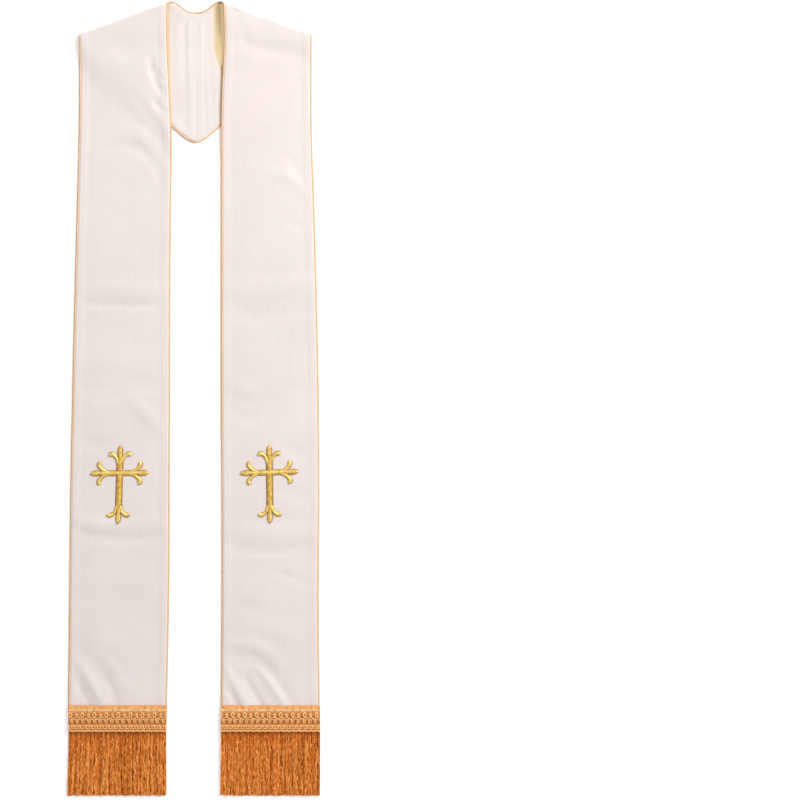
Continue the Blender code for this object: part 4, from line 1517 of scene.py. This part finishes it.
@dataclass(frozen=True)
class Fringe:
    """Loose silky strands that hang from the heading in wavy, lightly twisted locks."""

    side: StoleSide
    finish: bpy.types.Material

    locks: int = 68
    strands_a_lock: int = 7
    underlayer: int = 166
    points: int = 27
    sides: int = 5
    bundle_pitch: float = 0.0094
    bundle_half: float = 0.0038
    root_height: float = 0.0040
    spreads_by: float = 0.15
    lock_half: tuple[float, float] = (0.0012, 0.0022)
    strand_half: tuple[float, float] = (0.00048, 0.00072)
    under_half: float = 0.00088
    swing: tuple[float, float] = (0.0004, 0.0012)
    swing_pitch: tuple[float, float] = (0.022, 0.045)
    ripple: float = 0.00048
    ripple_pitch: tuple[float, float] = (0.009, 0.016)
    twist_pitch: tuple[float, float] = (0.045, 0.110)
    gleam_pitch: tuple[float, float] = (0.005, 0.014)
    gleam: float = 0.24
    root_shade: float = 0.34
    root_shade_long: float = 0.24
    tip_light: float = 0.06
    # The underlayer, which lies under the locks, has a lower tone: painted shade
    under_tone: float = 0.38
    under_uneven: float = 0.12
    lock_tone: float = 0.44
    lock_uneven: float = 0.06
    strand_uneven: float = 0.15
    uneven: float = 0.0016
    pile: float = 0.0034
    seed: int = 31

    @property
    def run(self) -> Array:
        """Shares of the way down at which a strand has points."""
        return np.linspace(0.0, 1.0, self.points)

    def strand(self, sketch: PieceSketch, s: Array, z: Array, tone: float, radius: float,
               draw: np.random.Generator) -> None:
        """Add one strand.

        Args:
            sketch: The piece that takes it.
            s: Distances along the heading.
            z: Heights above the surface.
            tone: The strand's mean tone.
            radius: Its radius.
            draw: Source of the strand's own unevenness.
        """
        t, width = self.run, self.width()
        root_shade = self.root_shade * (1.0 - smooth(t / self.root_shade_long))
        gleam = self.gleam * wave(t * FRINGE_LONG / draw.uniform(*self.gleam_pitch) + draw.uniform())
        tone = tone + gleam - root_shade + self.tip_light * t
        long = FRINGE_LONG + draw.uniform(-self.uneven, 0.3 * self.uneven) + self.root_height
        share = np.clip(s, radius, width - radius) / width
        path = self.side.band_point(share, self.root_height - t * long, np.maximum(z, radius + 0.0001))
        profile = radius * (1.0 - 0.25 * smooth((t - 0.93) / 0.07))
        sketch.add_cord(path, profile, UP, np.clip(tone, 0.0, 1.0), self.sides)

    def width(self) -> float:
        """Width of the fringe at its roots."""
        return float(self.side.outer(0.0) - self.side.inner(0.0))

    def sway(self, draw: np.random.Generator) -> Array:
        """Sideways waves of a lock, from its root down.

        Args:
            draw: Source of the lock's own unevenness.

        Returns:
            The shift at each point of the run.
        """
        t = self.run
        down = t * FRINGE_LONG
        long = draw.uniform(*self.swing) * wave(down / draw.uniform(*self.swing_pitch) + draw.uniform())
        short = self.ripple * wave(down / draw.uniform(*self.ripple_pitch) + draw.uniform())
        return (long + short) * smooth(t / 0.22) + draw.normal(0.0, 0.0016) * t * t

    def from_root(self, spot: float) -> Array:
        """Spread a strand from its root bundle to its own spot.

        Args:
            spot: Where it hangs, along the heading.

        Returns:
            The distance along the heading at each point of the run.
        """
        bundle = (math.floor(spot / self.bundle_pitch) + 0.5) * self.bundle_pitch
        root = bundle + (spot - bundle) * 2.0 * self.bundle_half / self.bundle_pitch
        return blend(root, spot, smooth(self.run / self.spreads_by))

    def add_underlayer(self, sketch: PieceSketch, draw: np.random.Generator) -> None:
        """Add the nearly straight strands that fill the back of the fringe.

        Args:
            sketch: The piece that takes them.
            draw: Source of their unevenness.
        """
        t = self.run
        for k in range(self.underlayer):
            spot = (k + draw.uniform(0.3, 0.7)) / self.underlayer * self.width()
            s = self.from_root(spot) + 0.14 * self.sway(draw)
            z = blend(0.0022, 0.0008, smooth(t / 0.3))
            tone = self.under_tone + self.under_uneven * draw.normal()
            self.strand(sketch, s, z, tone, self.under_half, draw)

    def add_lock(self, sketch: PieceSketch, spot: float, draw: np.random.Generator) -> None:
        """Add one lock, its strands turning about each other.

        Args:
            sketch: The piece that takes it.
            spot: The lock's place along the heading.
            draw: Source of its unevenness.
        """
        t = self.run
        middle = self.from_root(spot) + self.sway(draw)
        half = draw.uniform(*self.lock_half) * blend(0.45, 1.0, smooth(t / 0.30))
        depth = draw.uniform()
        rest = 0.0017 + self.pile * depth * (1.0 - 0.35 * t)
        middle_z = blend(0.0026 + 0.0012 * depth, rest, smooth(t / 0.35))
        middle_z = middle_z + 0.0006 * wave(2.5 * t + draw.uniform()) * smooth(t / 0.3) * depth
        turns = t * FRINGE_LONG / draw.uniform(*self.twist_pitch) * draw.choice((-1.0, 1.0)) + draw.uniform()
        # Painted light and shade: a lock that lies higher in the pile is lighter, one lower down darker
        lock_tone = self.lock_tone + 0.12 * depth + self.lock_uneven * draw.normal()
        for j in range(self.strands_a_lock):
            turn = turns + j / self.strands_a_lock
            reach = half * draw.uniform(0.55, 1.0)
            s = middle + reach * wave(turn)
            z = middle_z + 0.55 * reach * wave(turn + 0.25)
            tone = lock_tone + self.strand_uneven * draw.normal()
            self.strand(sketch, s, z, tone, draw.uniform(*self.strand_half), draw)

    def build(self) -> bpy.types.Object:
        """Make the strands as one joined piece.

        Returns:
            The piece.
        """
        draw = np.random.default_rng(self.seed + (self.side.hand is Hand.RIGHT))
        sketch = PieceSketch(f"{self.side.hand.word}_fringe_strands")
        self.add_underlayer(sketch, draw)
        for k in range(self.locks):
            self.add_lock(sketch, (k + draw.uniform(0.15, 0.85)) / self.locks * self.width(), draw)
        piece = sketch.make(self.finish, "fringe")
        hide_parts(f"{self.side.hand.word}_fringe")
        return piece


@dataclass(frozen=True)
class FleuryCross:
    """A padded cross in satin stitch, each arm ending in a bud between two curled leaves.

    Outline sizes are in millimetres from the crossing.
    """

    side: StoleSide
    finish: bpy.types.Material

    stem_half: float = 5.8
    arm_half: float = 4.8
    up: float = 44.3
    down: float = 80.5
    across: float = 46.8
    raised: float = 2.7
    sunk: float = 0.25
    thread: float = 0.85
    thread_relief: float = 0.10
    slant: float = 0.55
    spacing: float = 0.24

    def lobe(self, sketch: PieceSketch, path: tuple, halves: tuple, raised: float, groove: float,
             tone: float) -> None:
        """Add one stitched lobe, swept along a path.

        Args:
            sketch: The piece that takes it.
            path: Points along its middle.
            halves: Half width at each of them.
            raised: Height of its crown.
            groove: How deep the line down its middle is.
            tone: Tone of its thread.
        """
        points, halves = np.array(path, float), np.array(halves, float)
        run = np.concatenate([[0.0], np.cumsum(np.linalg.norm(np.diff(points, axis=0), axis=1))])
        u = np.arange(0.0, run[-1] + self.spacing, self.spacing)
        u = np.minimum(u, run[-1])
        middle = np.stack([self.ease(u, run, points[:, 0]), self.ease(u, run, points[:, 1])], axis=-1)
        half = np.maximum(self.ease(u, run, halves), 0.05)
        ahead = unit(np.gradient(middle, axis=0))
        out = np.stack([ahead[:, 1], -ahead[:, 0]], axis=-1)
        v = np.array([-1.0, -0.9, -0.72, -0.5, -0.28, -0.1, 0.0, 0.1, 0.28, 0.5, 0.72, 0.9, 1.0])
        flat = middle[:, None] + out[:, None] * (v[None, :, None] * half[:, None, None])
        crown = np.maximum(1.0 - np.abs(v) ** 1.5, 0.0)[None] ** 0.85
        plump = np.minimum(1.0, half[:, None] / 3.0) ** 0.6
        z = raised * crown * plump - groove * np.exp(-((v / 0.16) ** 2))[None] * plump
        slanted = (u[:, None] + self.slant * np.abs(v)[None] * half[:, None]) / self.thread
        z = z + self.thread_relief * (np.abs(np.sin(math.pi * slanted)) - 0.6) * crown
        z = np.where(np.abs(v)[None] > 0.99, -self.sunk, z)
        grain = np.stack([slanted * self.thread, np.broadcast_to(v, z.shape)], axis=-1) * MM
        # Painted light and shade: the thread is lighter along each lobe's crown and darker towards its edges
        marks = tone + 0.30 * crown - 0.50 * smooth((np.abs(v) - 0.55) / 0.45)[None] + 0.0 * z
        sketch.add_grid(self.lay(flat, z), grain, marks)

    def ease(self, u: Array, run: Array, values: Array) -> Array:
        """Read given values along a path on a smooth curve."""
        return SmoothTable(tuple(zip(run.tolist(), values.tolist()))).read(1, u)

    def lay(self, flat: Array, z: Array) -> Array:
        """Lay a point of the cross on the front's face.

        Args:
            flat: Points across and up from the crossing, in millimetres.
            z: Heights over the cloth, in millimetres.

        Returns:
            The points in the part's own frame.
        """
        lean, rise = self.side.cross_lean
        x = (flat[..., 0] * math.cos(rise) + flat[..., 1] * math.sin(lean)) * MM
        y = (flat[..., 1] * math.cos(lean) + flat[..., 0] * math.sin(rise)) * MM
        out = self.side.cross_place[0] + self.side.hand.value * x
        height = self.side.cross_place[1] + y
        return self.side.world(out, height, self.side.face_top(out, height) + z * MM)

    def add_tip(self, sketch: PieceSketch, turn: float, length: float, half: float) -> None:
        """Add the bud and the two leaves at the end of an arm.

        Args:
            sketch: The piece that takes them.
            turn: Direction of the arm, in degrees from straight up.
            length: The arm's length to its point.
            half: The arm's half width.
        """
        cosine, sine = math.cos(math.radians(turn)), math.sin(math.radians(turn))

        def turned(points: tuple) -> tuple:
            """Turn points of an upright arm to this arm's direction."""
            return tuple((x * cosine + y * sine, y * cosine - x * sine) for x, y in points)

        bud = ((0.0, length - 24.0), (0.0, length - 16.0), (0.0, length - 9.0), (0.0, length - 4.0), (0.0, length))
        self.lobe(sketch, turned(bud), (2.0, 4.0, 5.0, 3.4, 0.2), 1.15 * self.raised, 0.25, 0.46)
        for way in (-1.0, 1.0):
            leaf = tuple(
                (way * out, length - back)
                for out, back in ((0.30 * half, 32.0), (0.60 * half, 26.0), (5.2, 20.6), (8.6, 16.6),
                                  (12.0, 14.6), (14.7, 14.7), (16.6, 15.9), (17.5, 17.3))
            )
            halves = (1.0, 0.48 * half, 2.9, 3.5, 4.1, 4.2, 3.1, 0.4)
            self.lobe(sketch, turned(leaf), halves, 1.05 * self.raised, 0.0, 0.54)

    def build(self) -> bpy.types.Object:
        """Make the whole cross as one joined piece.

        Returns:
            The piece.
        """
        sketch = PieceSketch(f"{self.side.hand.word}_embroidered_cross")
        stem = ((0.0, -self.down + 18.0), (0.0, -40.0), (0.0, 0.0), (0.0, self.up - 18.0))
        half = self.stem_half
        self.lobe(sketch, stem, (half, half, half, half), self.raised, 0.0, 0.30)
        arms = ((-self.across + 18.0, 0.0), (0.0, 0.0), (self.across - 18.0, 0.0))
        half = self.arm_half
        self.lobe(sketch, arms, (half, half, half), 1.08 * self.raised, 0.0, 0.48)
        self.add_tip(sketch, 0.0, self.up, self.stem_half)
        self.add_tip(sketch, 90.0, self.across, self.arm_half)
        self.add_tip(sketch, 180.0, self.down, self.stem_half)
        self.add_tip(sketch, 270.0, self.across, self.arm_half)
        piece = sketch.make(self.finish, "embroidery", 80.0)
        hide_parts(f"{self.side.hand.word}_cross")
        return piece


@dataclass(frozen=True)
class Studio:
    """A pale floor, soft light from the neck's side, and the camera straight above."""

    view_wide: float = 1.256
    view_x: float = 0.3240
    view_y: float = -0.0025
    cloth_z: float = 0.0023
    lens: float = 100.0
    sensor: float = 36.0
    floor_wide: float = 40.0
    floor_z: float = -0.0004
    sky: float = 0.68
    key_place: tuple[float, float, float] = (2.55, 2.45, 2.35)
    key_aim: tuple[float, float, float] = (0.05, 0.25, 0.0)
    key_wide: float = 1.7
    key_power: float = 181.0

    def build_floor(self) -> None:
        """Make the floor, which isn't part of the stole."""
        half = 0.5 * self.floor_wide
        mesh = bpy.data.meshes.new("floor")
        corners = [(-half, -half), (half, -half), (half, half), (-half, half)]
        mesh.from_pydata([(x, y, self.floor_z) for x, y in corners], [], [(0, 1, 2, 3)])
        mesh.materials.append(FloorPaper().make())
        floor = bpy.data.objects.new("floor", mesh)
        bpy.context.scene.collection.objects.link(floor)

    def build_light(self) -> None:
        """Make the even sky and the soft key light."""
        world = bpy.data.worlds.new("studio_sky")
        world.use_nodes = True
        sky = world.node_tree.nodes["Background"]
        sky.inputs["Color"].default_value = (1.0, 1.0, 1.0, 1.0)
        sky.inputs["Strength"].default_value = self.sky
        bpy.context.scene.world = world
        light = bpy.data.lights.new("key_light", "AREA")
        light.shape = "DISK"
        light.size = self.key_wide
        light.energy = self.key_power
        key = bpy.data.objects.new("key_light", light)
        key.location = self.key_place
        key.rotation_euler = (Vector(self.key_place) - Vector(self.key_aim)).to_track_quat("Z", "Y").to_euler()
        bpy.context.scene.collection.objects.link(key)

    def build_camera(self) -> None:
        """Make the camera that looks straight down, as the photo does."""
        camera = bpy.data.cameras.new("camera")
        camera.lens = self.lens
        camera.sensor_width = self.sensor
        camera.clip_end = 50.0
        holder = bpy.data.objects.new("camera", camera)
        holder.location = (self.view_x, self.view_y, self.cloth_z + self.view_wide * self.lens / self.sensor)
        bpy.context.scene.collection.objects.link(holder)
        bpy.context.scene.camera = holder

    def build(self) -> None:
        """Set up the studio and its plain colours."""
        bpy.context.scene.view_settings.view_transform = "Standard"
        self.build_floor()
        self.build_light()
        self.build_camera()


def main() -> None:
    """Dress both sides of the stole and set up the studio."""
    logging.basicConfig(level=logging.INFO, format="%(name)s: %(message)s")
    Studio().build()
    cloths = {Layer.LINING: LINING_CLOTH.make(), Layer.FACE: FACE_SATIN.make()}
    cord_cover, gimp = CORD_COVER.make(), GIMP_THREAD.make()
    silk, stitch = FRINGE_SILK.make(), SATIN_STITCH.make()
    for side in (LEFT_SIDE, RIGHT_SIDE):
        lining = ClothStrip(side, Layer.LINING, cloths[Layer.LINING]).build(["floor"])
        pieces = [lining, ClothStrip(side, Layer.FACE, cloths[Layer.FACE]).build([lining.name])]
        pieces += [EdgeCord(side, edge, cord_cover).build() for edge in Edge]
        pieces += [GimpHeading(side, band, gimp).build_ground() for band in Band]
        pieces.append(GimpHeading(side, Band.FRONT, gimp).build_gimp())
        pieces.append(Fringe(side, silk).build())
        pieces.append(FleuryCross(side, stitch).build())
        for piece in pieces:
            log.info("%s: %d faces", piece.name, len(piece.data.polygons))


if __name__ == "__main__":
    main()
